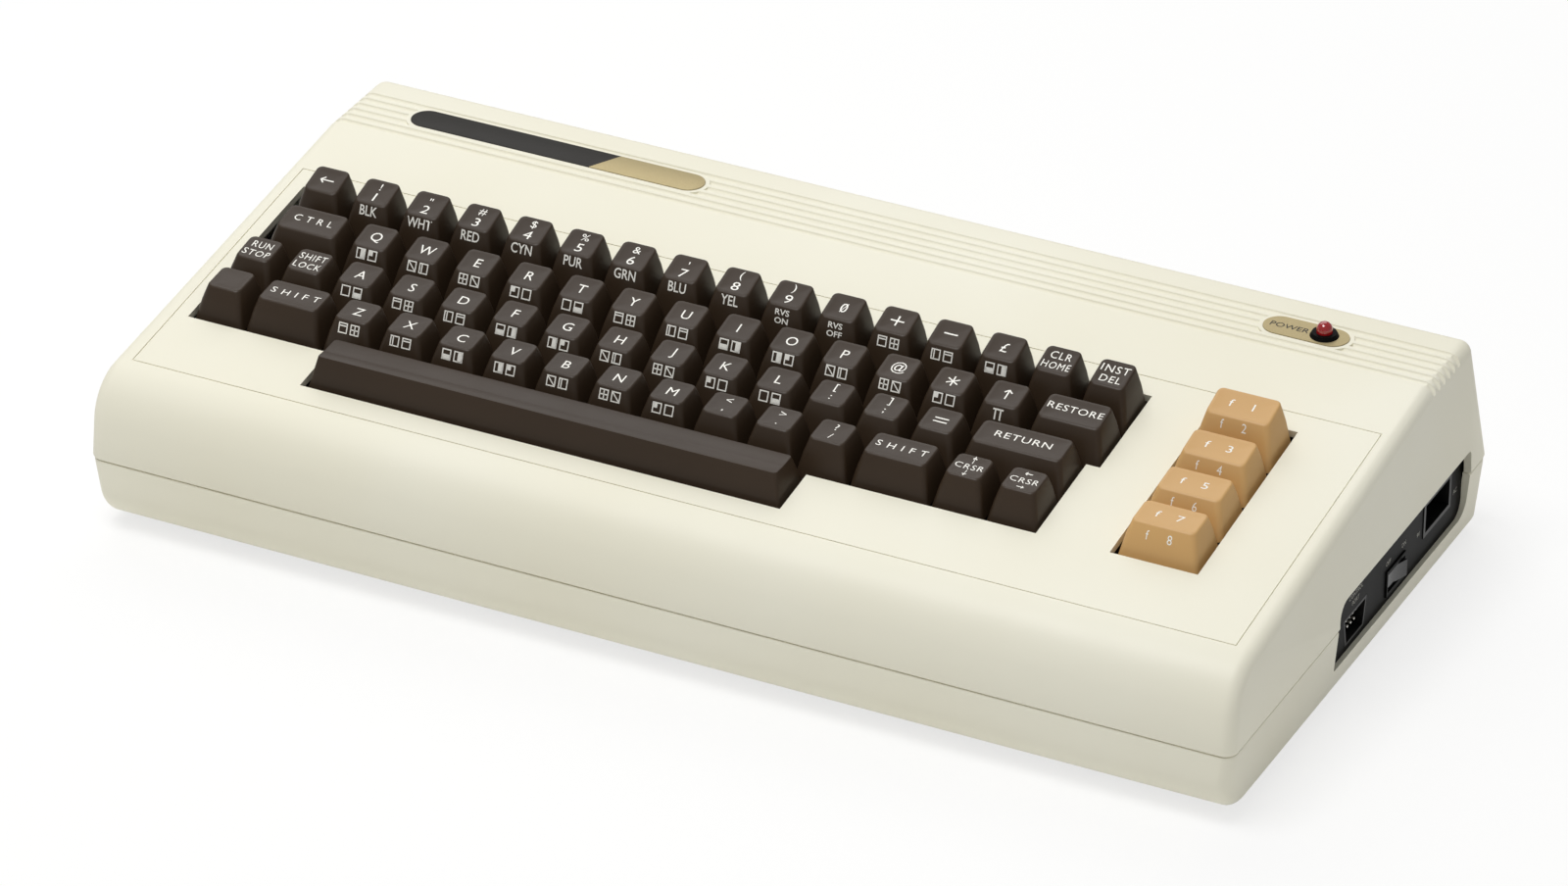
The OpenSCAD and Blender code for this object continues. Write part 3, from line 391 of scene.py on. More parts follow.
def finishes():
    """Every material of the computer, by its use."""
    case, caps, trim = (getattr(bpy.context.scene, n) for n in ("hc_case", "hc_caps", "hc_trim"))
    return {
        # ABS, injection moulded against a fine spark-eroded mould: a soft sheen with no mirror in it. The real grain
        # is about 0.1 mm, too fine for the picture, so it is drawn coarser.
        "case": moulded("abs_cream_spark_textured", case.colour, "#e6e2ce", case.grain, 0.00003, (0.46, 0.58)),
        # ABS, two-shot moulded caps: nearly black brown, fine-matt, polished a little by fingers.
        "cap": moulded("abs_brown_two_shot_caps", caps.colour, "#312519", 0.0005, 0.000016, (0.36, 0.48),
                       {"Specular IOR Level": 0.32}),
        # The same plastic in tan for the function keys.
        "tan": moulded("abs_tan_two_shot_caps", caps.tan, "#c49a62", 0.0005, 0.000016, (0.4, 0.52)),
        # The caps' second shot shows as white letters that are level with the top.
        "legend": ink("abs_white_second_shot_legends", caps.ink, 0.45),
        # Screened ink on the panel and the plate.
        "words": ink("screened_ink_grey", trim.lettering, 0.6),
        "plate_words": ink("screened_ink_black", "#2b2925", 0.6),
        # Lacquer over foil: black, glossy.
        "lacquer": moulded("gloss_lacquer_black_on_foil", trim.dark, "#2a2825", 0.0006, 0.000004, (0.42, 0.5),
                            {"Specular IOR Level": 0.15}),
        # Aluminium foil, anodised pale gold, satin.
        "foil": metal("aluminium_foil_pale_gold_satin", trim.foil, 0.6, 0.0005, 0.000006),
        # Epoxy, cast round the lamp's chip: deep red, clear gloss. Its faint emission is a painted glow, as the lamp
        # is not lit.
        "lens": moulded("epoxy_cast_red_lens", trim.lamp, "#8c0e15", 0.002, 0.000001, (0.06, 0.1),
                        {"Coat Weight": 1.0, "Coat Roughness": 0.03, "IOR": 1.55, "Emission Strength": 0.05,
                         "Emission Color": hex_colour("#c01018")}),
        # Polycarbonate or ABS, black: the side panel, the bezel and the sockets.
        "black": moulded("abs_black_fine_texture", "#0f0f0e", "#0c0c0b", 0.0007, 0.00002, (0.4, 0.52),
                         {"Specular IOR Level": 0.05}),
        "socket": moulded("nylon_black_sockets", "#131313", "#101010", 0.0006, 0.00001, (0.32, 0.45),
                          {"Specular IOR Level": 0.25}),
        "rocker": moulded("abs_black_polished_rocker", "#151515", "#121212", 0.002, 0.000004, (0.12, 0.2)),
        # Phenolic and ABS under the keys, in the dark.
        "frame": moulded("abs_black_keyboard_frame", "#242220", "#201e1c", 0.0008, 0.00002, (0.45, 0.6)),
        # Rubber, moulded: no shine, with a skin of fine dust.
        "rubber": moulded("rubber_moulded_feet", "#2c2a28", "#373532", 0.0006, 0.00003, (0.75, 0.9)),
        # PVC, extruded over the flat cable's wires.
        "cable": moulded("pvc_grey_ribbon_cable", "#9b9a97", "#8f8e8b", 0.001, 0.00001, (0.4, 0.5)),
        # Epoxy moulding compound on the chips.
        "chip": moulded("epoxy_black_chip_bodies", "#2a2a2b", "#252526", 0.0004, 0.00002, (0.5, 0.65)),
        "board": board_laminate(),
        # Steel: spring wire, drawn; screws and pins, nickel plated; the sink, extruded aluminium.
        "spring": metal("steel_spring_wire_drawn", "#b9b9b6", 0.28),
        "nickel": metal("steel_nickel_plated", "#d5d2cb", 0.2, 0.0006, 0.00001),
        "sink": metal("aluminium_extruded_sink", "#c4c6c8", 0.38),
        "gold": metal("brass_gold_plated_fingers", "#d9b65c", 0.25, 0.0006, 0.00001),
    }


SLOTS = {}


def finish_of(use):
    """A material by its use, made once."""
    if not SLOTS:
        SLOTS.update(finishes())
    return SLOTS[use]


# ---- lettering ----

CAPITAL = 0.729  # the height of the typeface's capitals, as a share of its size

# Signs drawn as straight strokes: x, y, length and thickness in mm and turn in degrees.
STROKES = {
    "+": ((0, 0, 4.8, 0.6, 0), (0, 0, 0.6, 4.4, 0)),
    "−": ((0, 0, 4.8, 0.6, 0),),
    "=": ((0, 0.9, 4.8, 0.55, 0), (0, -0.9, 4.8, 0.55, 0)),
    "*": ((0, 0, 4.6, 0.5, 90), (0, 0, 4.6, 0.5, 30), (0, 0, 4.6, 0.5, -30)),
    "↑": ((0, 0, 0.5, 4.4, 0), (-0.65, 1.55, 1.9, 0.5, 45), (0.65, 1.55, 1.9, 0.5, -45)),
    "↓": ((0, 0, 0.5, 4.4, 0), (-0.65, -1.55, 1.9, 0.5, -45), (0.65, -1.55, 1.9, 0.5, 45)),
    "←": ((0, 0, 4.8, 0.5, 0), (-1.75, 0.65, 1.9, 0.5, 45), (-1.75, -0.65, 1.9, 0.5, -45)),
    "→": ((0, 0, 4.8, 0.5, 0), (1.75, 0.65, 1.9, 0.5, -45), (1.75, -0.65, 1.9, 0.5, 45)),
    "π": ((0, 1.4, 3.6, 0.55, 0), (-0.9, -0.3, 0.5, 3.4, 0), (0.9, -0.3, 0.5, 3.4, 0)),
}


def sign(text, y=0.0, size=1.0):
    """A sign of STROKES, centred on (0, y)."""
    return [bar(sx * size * MM, y + sy * size * MM, w * size * MM, h * max(size, 0.8) * MM, math.radians(turn))
            for sx, sy, w, h, turn in STROKES[text]]


def words(text, height, x=0.0, y=0.0, wide=1.0, weight=0.0, span=None, spacing=1.0):
    """Flat letters of that capital height, centred on (x, y) in the plane z = 0, as a mesh. A span stretches them
    to that width."""
    deselect()
    bpy.ops.object.text_add(location=(0, 0, 0))
    obj = bpy.context.object
    obj.data.body = text
    obj.data.align_x = "CENTER"
    obj.data.size = height / CAPITAL
    obj.data.offset = weight
    obj.data.space_character = spacing
    obj.data.resolution_u = 3
    bpy.ops.object.convert(target="MESH")
    obj = bpy.context.object
    if not obj.data.vertices:
        bpy.data.objects.remove(obj)
        return None
    low, high = ([end(v.co[i] for v in obj.data.vertices) for i in (0, 1)] for end in (min, max))
    middle = [(low[i] + high[i]) / 2 for i in (0, 1)]
    if span:
        wide = span / (high[0] - low[0])
    return settle(obj, Matrix.Translation((x, y, 0)) @ Matrix.Diagonal((wide, 1, 1, 1))
                  @ Matrix.Translation((-middle[0], -middle[1], 0)))


def bar(x, y, w, h, turn=0.0):
    """A thin flat stroke, centred on (x, y)."""
    deselect()
    bpy.ops.mesh.primitive_plane_add(size=1, location=(0, 0, 0))
    obj = bpy.context.object
    edit(obj, "EDGE")
    bpy.ops.mesh.select_all(action="SELECT")
    bpy.ops.mesh.subdivide(number_cuts=2)
    bpy.ops.object.mode_set(mode="OBJECT")
    return settle(obj, Matrix.Translation((x, y, 0)) @ Matrix.Rotation(turn, 4, "Z") @ Matrix.Diagonal((w, h, 1, 1)))


def square(x, y, w, h, line):
    """A square's outline: a plane, inset, with its middle taken out."""
    deselect()
    bpy.ops.mesh.primitive_plane_add(size=1, location=(0, 0, 0))
    obj = settle(bpy.context.object, Matrix.Translation((x, y, 0)) @ Matrix.Diagonal((w, h, 1, 1)))
    edit(obj, "FACE")
    bpy.ops.mesh.select_all(action="SELECT")
    bpy.ops.mesh.inset(thickness=line)
    bpy.ops.mesh.delete(type="FACE")
    bpy.ops.object.mode_set(mode="OBJECT")
    return obj


def squares(n):
    """A pair of small squares, each with a stroke or a filled part that depends on n."""
    w, h, t = 3.3 * MM, 3.6 * MM, 0.42 * MM
    made = []
    for side, k in ((-1, n % 8), (1, (n * 3 + 5) % 8)):
        x = side * 2.15 * MM
        made.append(square(x, 0, w, h, t))
        if k == 0:
            made.append(bar(x, h * 0.2, w * 0.9, t))
        elif k == 1:
            made.append(bar(x - w * 0.18, 0, t, h * 0.9))
        elif k == 2:
            made.append(bar(x, -h * 0.22, w * 0.9, h * 0.45))
        elif k == 3:
            made.append(bar(x + w * 0.2, 0, w * 0.5, h * 0.9))
        elif k == 4:
            made.append(bar(x, 0, t, h * 1.1, math.atan2(w, h)))
        elif k == 5:
            made.append(bar(x, 0, w * 0.9, t))
            made.append(bar(x, 0, t, h * 0.9))
        elif k == 6:
            made.append(bar(x - w * 0.2, h * 0.2, w * 0.45, h * 0.45))
    return made


def lay_on(target, letters, plane):
    """Lays flat letters on target from above plane, a little proud of it; returns one piece."""
    letters = [x for x in letters if x is not None]
    if not letters:
        return None
    obj = joined(letters, "letters")
    obj.matrix_world = plane
    pick(obj)
    wrap = obj.modifiers.new("lay", "SHRINKWRAP")
    wrap.target = target
    wrap.wrap_method = "PROJECT"
    wrap.use_project_x = wrap.use_project_y = False
    wrap.use_project_z = True
    wrap.use_negative_direction = True
    wrap.use_positive_direction = False
    wrap.offset = 0.04 * MM
    bpy.ops.object.modifier_apply(modifier="lay")
    return settle(obj)


# ---- the keys ----

def cap_form(units, row):
    """One cap about the middle of its skirt, in the deck's face: a block drawn in to its top, with full sides,
    rounded corners, a dished top, and its hollow and stem below."""
    s = bpy.context.scene.hc_caps
    width, depth = units * PITCH * MM - s.gap, PITCH * MM - s.gap
    top_w, top_d = width - (PITCH * MM - s.gap - s.top_width), s.top_depth
    high, tilt, skirt = ROW_H[row] * MM, math.radians(ROW_TILT[row]), s.skirt
    rim, corner, wall, roof, stem_r, stem_low = (x * MM for x in (0.55, 1.9, 1.4, 2.6, 2.8, 12))
    deselect()
    bpy.ops.mesh.primitive_cube_add(size=1, location=(0, 0, (high - skirt) / 2), scale=(width, depth, high + skirt))
    obj = settle(bpy.context.object)
    edit(obj, "VERT")
    middle = (0, s.set_back, high)
    choose(obj, "VERT", lambda v: v.co.z > 0)
    bpy.ops.transform.resize(value=((top_w + rim) / width, (top_d + rim) / depth, 1), center_override=(0, 0, high))
    bpy.ops.transform.translate(value=(0, s.set_back, 0))
    bpy.ops.transform.rotate(value=-tilt, orient_axis="X", center_override=middle)
    # the sides swell a little between skirt and top
    for share, swell in ((0.3, 1.016), (0.62, 1.022)):
        level = share * (high + skirt) - skirt
        bpy.ops.mesh.select_all(action="SELECT")
        bpy.ops.mesh.bisect(plane_co=(0, 0, level), plane_no=(0, 0, 1))
        choose(obj, "VERT", lambda v: abs(v.co.z - level) < 1e-6)
        bpy.ops.transform.resize(value=(1 + (swell - 1) * depth / width, swell, 1),
                                 center_override=(0, share * s.set_back, level))
    bpy.ops.mesh.select_mode(type="EDGE")
    choose(obj, "EDGE", lambda e: abs(e.verts[0].co.z - e.verts[1].co.z) > 0.6 * e.calc_length())
    bpy.ops.mesh.bevel(offset=corner, segments=4, affect="EDGES", clamp_overlap=True)
    bpy.ops.mesh.select_mode(type="FACE")
    choose(obj, "FACE", lambda f: f.normal.z > 0.9)
    bpy.ops.mesh.select_mode(type="EDGE")
    bpy.ops.mesh.region_to_loop()
    bpy.ops.mesh.bevel(offset=rim, segments=3, affect="EDGES", clamp_overlap=True)
    bpy.ops.mesh.select_mode(type="FACE")
    choose(obj, "FACE", lambda f: f.normal.z > 0.9 and len(f.verts) > 8)
    # the dish, in rings that draw in to its middle
    sunk = 0
    for small, deep in ((0.86, 0.3), (0.78, 0.34), (0.66, 0.24), (0.4, 0.12)):
        sunk += deep * s.dish
        bpy.ops.mesh.extrude_region_move(TRANSFORM_OT_translate={"value": (0, 0, -deep * s.dish)})
        bpy.ops.transform.resize(value=(1 - (1 - small) * top_d / top_w, small, small),
                                 center_override=(0, s.set_back, high - sunk))
    # the hollow underneath, then the stem
    choose(obj, "FACE", lambda f: f.normal.z < -0.9)
    lift = high + skirt - roof
    inner_w, inner_d = width - 2 * wall, depth - 2 * wall
    bpy.ops.mesh.extrude_region_move(TRANSFORM_OT_translate={"value": (0, 0, 0)})
    bpy.ops.transform.resize(value=(inner_w / width, inner_d / depth, 1), center_override=(0, 0, -skirt))
    bpy.ops.mesh.extrude_region_move(TRANSFORM_OT_translate={"value": (0, s.set_back * 0.8, lift)})
    bpy.ops.transform.resize(value=(0.96 * (top_w - 2 * wall) / inner_w, 0.96 * (top_d - 2 * wall) / inner_d, 1),
                             center_override=(0, s.set_back * 0.8, lift - skirt))
    bpy.ops.object.mode_set(mode="OBJECT")
    deselect()
    bpy.ops.mesh.primitive_cylinder_add(vertices=24, radius=stem_r, depth=stem_low + high,
                                        location=(0, 0, (high - 2 * MM) - (stem_low + high) / 2))
    stem = bpy.context.object
    edit(stem, "EDGE")
    low = min(v.co.z for v in bmesh.from_edit_mesh(stem.data).verts)
    choose(stem, "EDGE", lambda e: all(abs(v.co.z - low) < 1e-6 for v in e.verts))
    bpy.ops.mesh.bevel(offset=0.5 * MM, segments=2, affect="EDGES")
    bpy.ops.object.mode_set(mode="OBJECT")
    settle(stem)
    outward(stem)
    outward(obj, 40)
    return obj, stem


def bar_form():
    """The space bar about the middle of its skirt: a long block with a sharp front ridge and a slightly hollow top."""
    s = bpy.context.scene.hc_caps
    width, depth, high, skirt = BAR_UNITS * PITCH * MM - s.gap, PITCH * MM - s.gap, BAR_H * MM, s.skirt
    trough_y = 0.2 * MM
    deselect()
    bpy.ops.mesh.primitive_cube_add(size=1, location=(0, 0, (high - skirt) / 2), scale=(width, depth, high + skirt))
    obj = settle(bpy.context.object)
    edit(obj, "EDGE")
    choose(obj, "EDGE", lambda e: all(v.co.z > high - 1e-5 and v.co.y < 0 for v in e.verts))
    bpy.ops.transform.translate(value=(0, 4.6 * MM, 0))
    choose(obj, "EDGE", lambda e: all(v.co.z > high - 1e-5 and v.co.y > 0 for v in e.verts))
    bpy.ops.transform.translate(value=(0, -1.8 * MM, -1.3 * MM))
    choose(obj, "VERT", lambda v: v.co.z > 0)
    bpy.ops.transform.resize(value=((width / 2 - 2.8 * MM) / (width / 2), 1, 1))
    bpy.ops.mesh.select_mode(type="FACE")
    # the top's shallow trough
    bpy.ops.mesh.select_all(action="SELECT")
    bpy.ops.mesh.bisect(plane_co=(0, trough_y, 0), plane_no=(0, 1, 0))
    choose(obj, "VERT", lambda v: v.co.z > 0 and abs(v.co.y - trough_y) < 1e-5)
    bpy.ops.transform.translate(value=(0, 0, -0.35 * MM))
    bpy.ops.mesh.select_mode(type="EDGE")
    choose(obj, "EDGE", lambda e: abs(e.verts[0].co.z - e.verts[1].co.z) > 0.8 * e.calc_length())
    bpy.ops.mesh.bevel(offset=1.2 * MM, segments=3, affect="EDGES")
    choose(obj, "EDGE", lambda e: not e.is_boundary and e.calc_face_angle(0) > math.radians(30)
           and all(v.co.z > 0.004 for v in e.verts))
    bpy.ops.mesh.bevel(offset=0.35 * MM, segments=2, affect="EDGES")
    bpy.ops.object.mode_set(mode="OBJECT")
    return outward(obj, 32)


def top_plane(row):
    """The frame over a cap's dished top, in the cap's own place."""
    s = bpy.context.scene.hc_caps
    return (Matrix.Translation((0, s.set_back, ROW_H[row] * MM)) @ Matrix.Rotation(math.radians(ROW_TILT[row]), 4, "X")
            @ Matrix.Translation((0, 0, 2 * MM)))


def front_plane(row):
    """The frame before a cap's front face, its y running up the face."""
    s = bpy.context.scene.hc_caps
    depth = PITCH * MM - s.gap
    low = Vector((0, -depth / 2, -s.skirt))
    high = Vector((0, s.set_back - s.top_depth / 2, ROW_H[row] * MM))
    up = (high - low).normalized()
    out = Vector((1, 0, 0)).cross(up)
    middle = high - up * 3.5 * MM + out * 3 * MM
    return Matrix(((1, 0, 0, 0), (0, up.y, out.y, middle.y), (0, up.z, out.z, middle.z), (0, 0, 0, 1)))


LONG_WORDS = {"C T R L": 14.2, "S H I F T": 17.8, "RESTORE": 19.2, "RETURN": 19.6}  # widths in mm


def top_letters(main, shifted, tan):
    """The legends on a cap's top."""
    made = []
    if main in STROKES:
        made += sign(main, 0.2 * MM)
    elif "\n" in main:
        lines = main.split("\n")
        step = (4.5 if len(lines) == 2 else 3.6) * MM
        for i, text in enumerate(lines):
            y = ((len(lines) - 1) / 2 - i) * step
            if text in STROKES:
                made += sign(text, y, 0.5)
            else:
                made.append(words(text, 3.2 * MM if len(lines) == 2 else 2.8 * MM, 0, y,
                                  span=min(len(text) * 2.45, 9.8) * MM, spacing=1.15))
    elif shifted:
        made.append(words(main, 4.0 * MM if main.isalnum() else 2.8 * MM, 0, -2.0 * MM, 1.15)
                    if main not in ",.:;" else point_letters(main))
        made.append(words(shifted, 3.0 * MM, 0, 2.8 * MM, 1.15))
    elif tan:
        made += [words(text, 3.2 * MM, x * MM, 0.5 * MM, 1.25) for text, x in zip(main.split(), (-4.4, 3.2))]
    elif main in LONG_WORDS:
        made.append(words(main, 3.0 * MM, 0, 0.7 * MM, span=LONG_WORDS[main] * MM, spacing=1.1))
    elif main:
        made.append(words(main, 4.2 * MM, 0, 0.1 * MM, 0.95))
        if main == "0":
            made.append(bar(0, 0.1 * MM, 0.3 * MM, 4.4 * MM, -0.4))
    return made


def point_letters(main):
    """A comma, point, colon or semicolon at the size of its row, kept small."""
    deselect()
    bpy.ops.object.text_add(location=(0, 0, 0))
    obj = bpy.context.object
    obj.data.body = main
    obj.data.align_x = "CENTER"
    obj.data.size = 3.4 * MM / CAPITAL
    bpy.ops.object.convert(target="MESH")
    return settle(bpy.context.object, Matrix.Translation((0, -3.0 * MM, 0)))


def front_letters(text, row, tan):
    """The legends on a cap's front."""
    if not text:
        return []
    if text.startswith("#"):
        rise = Matrix.Translation((0, (0.75 if row else -0.55) * MM, 0))
        return [settle(part, rise) for part in squares(int(text[1:]))]
    if "\n" in text:
        a, b = text.split("\n")
        return [words(a, 2.0 * MM, 0, 0.6 * MM, 1.15, 0.00005), words(b, 2.0 * MM, 0, -2.2 * MM, 1.15, 0.00005)]
    if tan:
        return [words(part, 3.2 * MM, x * MM, 0, 0.85) for part, x in zip(text.split(), (-4.6, 3.0))]
    if text in STROKES:
        return sign(text, 0.3 * MM)
    return [words(text, 3.5 * MM, 0, 0.3 * MM, 0.8 if len(text) > 1 else 1.1, 0.00006)]


# ---- operators ----

class HC_OT_stage(bpy.types.Operator):
    """Set up the camera, the soft light and the pale floor"""
    bl_idname = "hc.stage"
    bl_label = "Stage"

    def execute(self, context):
        s = context.scene.hc_stage
        lens = bpy.data.cameras.new("camera")
        lens.lens, lens.sensor_width, lens.sensor_fit = CAMERA_LENS, CAMERA_SENSOR, "HORIZONTAL"
        lens.clip_start, lens.clip_end = 0.1, 30.0
        camera = bpy.data.objects.new("camera", lens)
        context.scene.collection.objects.link(camera)
        camera.matrix_world = Matrix((*zip(CAMERA_RIGHT, CAMERA_UP, CAMERA_BACK, CAMERA_AT), (0, 0, 0, 1)))
        context.scene.camera = camera

        deselect()
        bpy.ops.mesh.primitive_plane_add(size=14, location=(0, 0, 0))
        floor = context.object
        floor.name = floor.data.name = "floor"
        paper, tree, shader, place = new_surface("paper_white_backdrop", {
            "Base Color": hex_colour(s.floor_colour), "Roughness": 0.9, "Specular IOR Level": 0.2})
        shine = add_node(tree, "ShaderNodeEmission", {"Strength": 1.0, "Color": (1, 1, 1, 1)})
        ray = add_node(tree, "ShaderNodeLightPath")
        seen = add_node(tree, "ShaderNodeMath", {"operation": "MAXIMUM"},
                        {0: ray.outputs["Is Camera Ray"], 1: ray.outputs["Is Glossy Ray"]})
        share = add_node(tree, "ShaderNodeMath", {"operation": "MULTIPLY", 1: 0.72}, {0: seen.outputs[0]})
        mix = add_node(tree, "ShaderNodeMixShader", links={0: share.outputs[0], 1: shader.outputs[0],
                                                           2: shine.outputs[0]})
        out = next(n for n in tree.nodes if n.type == "OUTPUT_MATERIAL")
        tree.links.new(mix.outputs[0], out.inputs["Surface"])
        coat(floor, paper)

        def lamp(name, where, aim, size, power):
            light = bpy.data.lights.new(name, "AREA")
            light.shape, light.size, light.size_y, light.energy = "RECTANGLE", size[0], size[1], power
            obj = bpy.data.objects.new(name, light)
            context.scene.collection.objects.link(obj)
            obj.location = where
            obj.rotation_euler = (Vector(aim) - Vector(where)).to_track_quat("-Z", "Y").to_euler()

        lamp("soft_box_rear", (-0.7, 1.05, 1.35), (0, 0, 0.05), (1.7, 1.1), s.key_light)
        lamp("soft_box_front", (-0.25, -0.65, 2.2), (0, 0, 0.05), (1.2, 0.9), s.key_light * 3)

        world = context.scene.world or bpy.data.worlds.new("room")
        context.scene.world = world
        world.use_nodes = True
        tree = world.node_tree
        tree.nodes.clear()
        ray = add_node(tree, "ShaderNodeLightPath")
        seen = add_node(tree, "ShaderNodeMath", {"operation": "MAXIMUM"},
                        {0: ray.outputs["Is Camera Ray"], 1: ray.outputs["Is Transmission Ray"]})
        level = add_node(tree, "ShaderNodeMapRange", {3: s.sky_light, 4: 1.0}, {0: seen.outputs[0]})
        sky = add_node(tree, "ShaderNodeBackground", {"Color": (1, 1, 1, 1)}, {"Strength": level.outputs[0]})
        add_node(tree, "ShaderNodeOutputWorld", links={"Surface": sky.outputs[0]})
        context.scene.view_settings.view_transform = "Standard"
        return {"FINISHED"}


class HC_OT_case(bpy.types.Operator):
    """Finish the two case halves from their construction meshes, with softened edges"""
    bl_idname = "hc.case"
    bl_label = "Case"

    def execute(self, context):
        for node, slot in (("top_case", "case_cream"), ("bottom_case", "case_cream_lower")):
            obj = cad_copy(node, node + "_shell")
            level = (SEAM_H if node == "top_case" else SEAM_H - SEAM_GAP) * MM
            edit(obj, "EDGE")
            rim = choose(obj, "EDGE", lambda e: all(
                abs(v.co.z - level) < 2e-5 and max(abs(v.co.x) / HALF_W, abs(v.co.y) / HALF_D) > 0.99
                for v in e.verts))
            if not rim:
                raise RuntimeError(node + " has no rim at the seam")
            bpy.ops.mesh.bevel(offset=context.scene.hc_case.edge * (2.2 if node == "top_case" else 1.2),
                               segments=2, affect="EDGES", clamp_overlap=True)
            bpy.ops.object.mode_set(mode="OBJECT")
            bpy.ops.object.shade_smooth_by_angle(angle=math.radians(28))
            coat(obj, finish_of("case"))
            fit(obj, "case", [node])
        return {"FINISHED"}


class HC_OT_caps(bpy.types.Operator):
    """Model a cap for each row and width, copy it to every key and lay its legends on it"""
    bl_idname = "hc.caps"
    bl_label = "Key Caps and Legends"

    def execute(self, context):
        forms = {}
        for node, row, first, units, legends in KEYS:
            tan = node.startswith("key_f")
            if (row, units) not in forms:
                forms[row, units] = cap_form(units, row)
            skin, stem = forms[row, units]
            shells, marks = [], []
            for i, (main, shifted, front) in enumerate(legends):
                place = SLOPE_FRAME @ Matrix.Translation(
                    ((GRID_X + (first + (i + 0.5) * units) * PITCH) * MM, (-GRID_S - (row + 0.5) * PITCH) * MM, 0))
                parts = [lay_on(skin, top_letters(main, shifted, tan), top_plane(row)),
                         lay_on(skin, front_letters(front, row, tan), front_plane(row))]
                marks += [settle(p, place) for p in parts if p is not None]
                shells += [twin(skin, place), twin(stem, place)]
            caps = joined(shells, node + "_caps")
            coat(caps, finish_of("tan" if tan else "cap"))
            fit(caps, node, [node])
            if marks:
                fit(coat(joined(marks, node + "_legends"), finish_of("legend")), node)
        for pair in forms.values():
            for obj in pair:
                bpy.data.objects.remove(obj)
        return {"FINISHED"}


class HC_OT_space_bar(bpy.types.Operator):
    """Model the space bar"""
    bl_idname = "hc.space_bar"
    bl_label = "Space Bar"

    def execute(self, context):
        obj = bar_form()
        settle(obj, SLOPE_FRAME @ Matrix.Translation((BAR_X * MM, (-GRID_S - 4.5 * PITCH) * MM, 0)))
        obj.name = obj.data.name = "space_bar_cap"
        coat(obj, finish_of("cap"))
        fit(obj, "space_bar", ["space_bar"])
        return {"FINISHED"}


class HC_OT_plates(bpy.types.Operator):
    """Model the bare name plate, and the lamp's plate with its word"""
    bl_idname = "hc.plates"
    bl_label = "Plates"

    def execute(self, context):
        low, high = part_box("badge")
        middle, size = (low + high) / 2, high - low
        plate = cad_copy("badge", "name_plate")
        pick(plate)
        plate.data.materials.append(finish_of("lacquer"))
        plate.data.materials.append(finish_of("foil"))
        edit(plate, "FACE")
        bpy.ops.mesh.select_all(action="SELECT")
        bpy.ops.mesh.dissolve_limited(angle_limit=math.radians(1))
        cut = Vector((1, -PLATE_LEAN, 0)).normalized()
        split = Vector((middle.x + size.x * PLATE_SPLIT, middle.y, 0))
        bpy.ops.mesh.select_all(action="SELECT")
        bpy.ops.mesh.bisect(plane_co=split, plane_no=cut)
        data = bmesh.from_edit_mesh(plate.data)
        for face in data.faces:
            face.material_index = 1 if (face.calc_center_median() - split).dot(cut) > 0 else 0
        bmesh.update_edit_mesh(plate.data)
        bpy.ops.object.mode_set(mode="OBJECT")
        soften = plate.modifiers.new("edge", "BEVEL")
        soften.width, soften.segments, soften.angle_limit = 0.15 * MM, 2, math.radians(50)
        bpy.ops.object.modifier_apply(modifier="edge")
        bpy.ops.object.shade_smooth_by_angle(angle=math.radians(35))
        fit(plate, "case", ["badge"])

        low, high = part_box("lamp_plate")
        obj = cad_copy("lamp_plate", "lamp_plate_face")
        pick(obj)
        bpy.ops.object.shade_smooth_by_angle(angle=math.radians(35))
        coat(obj, finish_of("foil"))
        fit(obj, "case", ["lamp_plate"])
        name = words("POWER", 2.9 * MM, low.x + 9.0 * MM, (low.y + high.y) / 2, span=13.4 * MM)
        settle(name, Matrix.Translation((0, 0, high.z + 0.05 * MM)))
        name.name = name.data.name = "lamp_plate_word"
        fit(coat(name, finish_of("plate_words")), "case")
        return {"FINISHED"}


class HC_OT_lamp(bpy.types.Operator):
    """Model the red lamp and its bezel"""
    bl_idname = "hc.lamp"
    bl_label = "Lamp"

    def execute(self, context):
        low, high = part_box("power_lamp")
        middle, radius = (low + high) / 2, 2.7 * MM
        deselect()
        bpy.ops.mesh.primitive_uv_sphere_add(segments=40, ring_count=20, radius=radius,
                                             location=(middle.x, middle.y, high.z - radius))
        dome = settle(context.object)
        edit(dome, "FACE")
        bpy.ops.mesh.select_all(action="SELECT")
        bpy.ops.mesh.bisect(plane_co=(0, 0, high.z - radius), plane_no=(0, 0, 1), clear_inner=True, use_fill=True)
        choose(dome, "FACE", lambda f: f.normal.z < -0.9 and len(f.verts) > 8)
        bpy.ops.mesh.extrude_region_move(TRANSFORM_OT_translate={"value": (0, 0, low.z + 0.001 - (high.z - radius))})
        bpy.ops.mesh.inset(thickness=-0.5 * MM)
        bpy.ops.mesh.extrude_region_move(TRANSFORM_OT_translate={"value": (0, 0, -0.001)})
        bpy.ops.object.mode_set(mode="OBJECT")
        outward(dome, 40)
        dome.name = dome.data.name = "lamp_lens"
        fit(coat(dome, finish_of("lens")), "case", ["power_lamp"])
        ring = cad_copy("lamp_bezel", "lamp_ring")
        pick(ring)
        bpy.ops.object.shade_smooth_by_angle(angle=math.radians(35))
        fit(coat(ring, finish_of("black")), "case", ["lamp_bezel"])
        return {"FINISHED"}


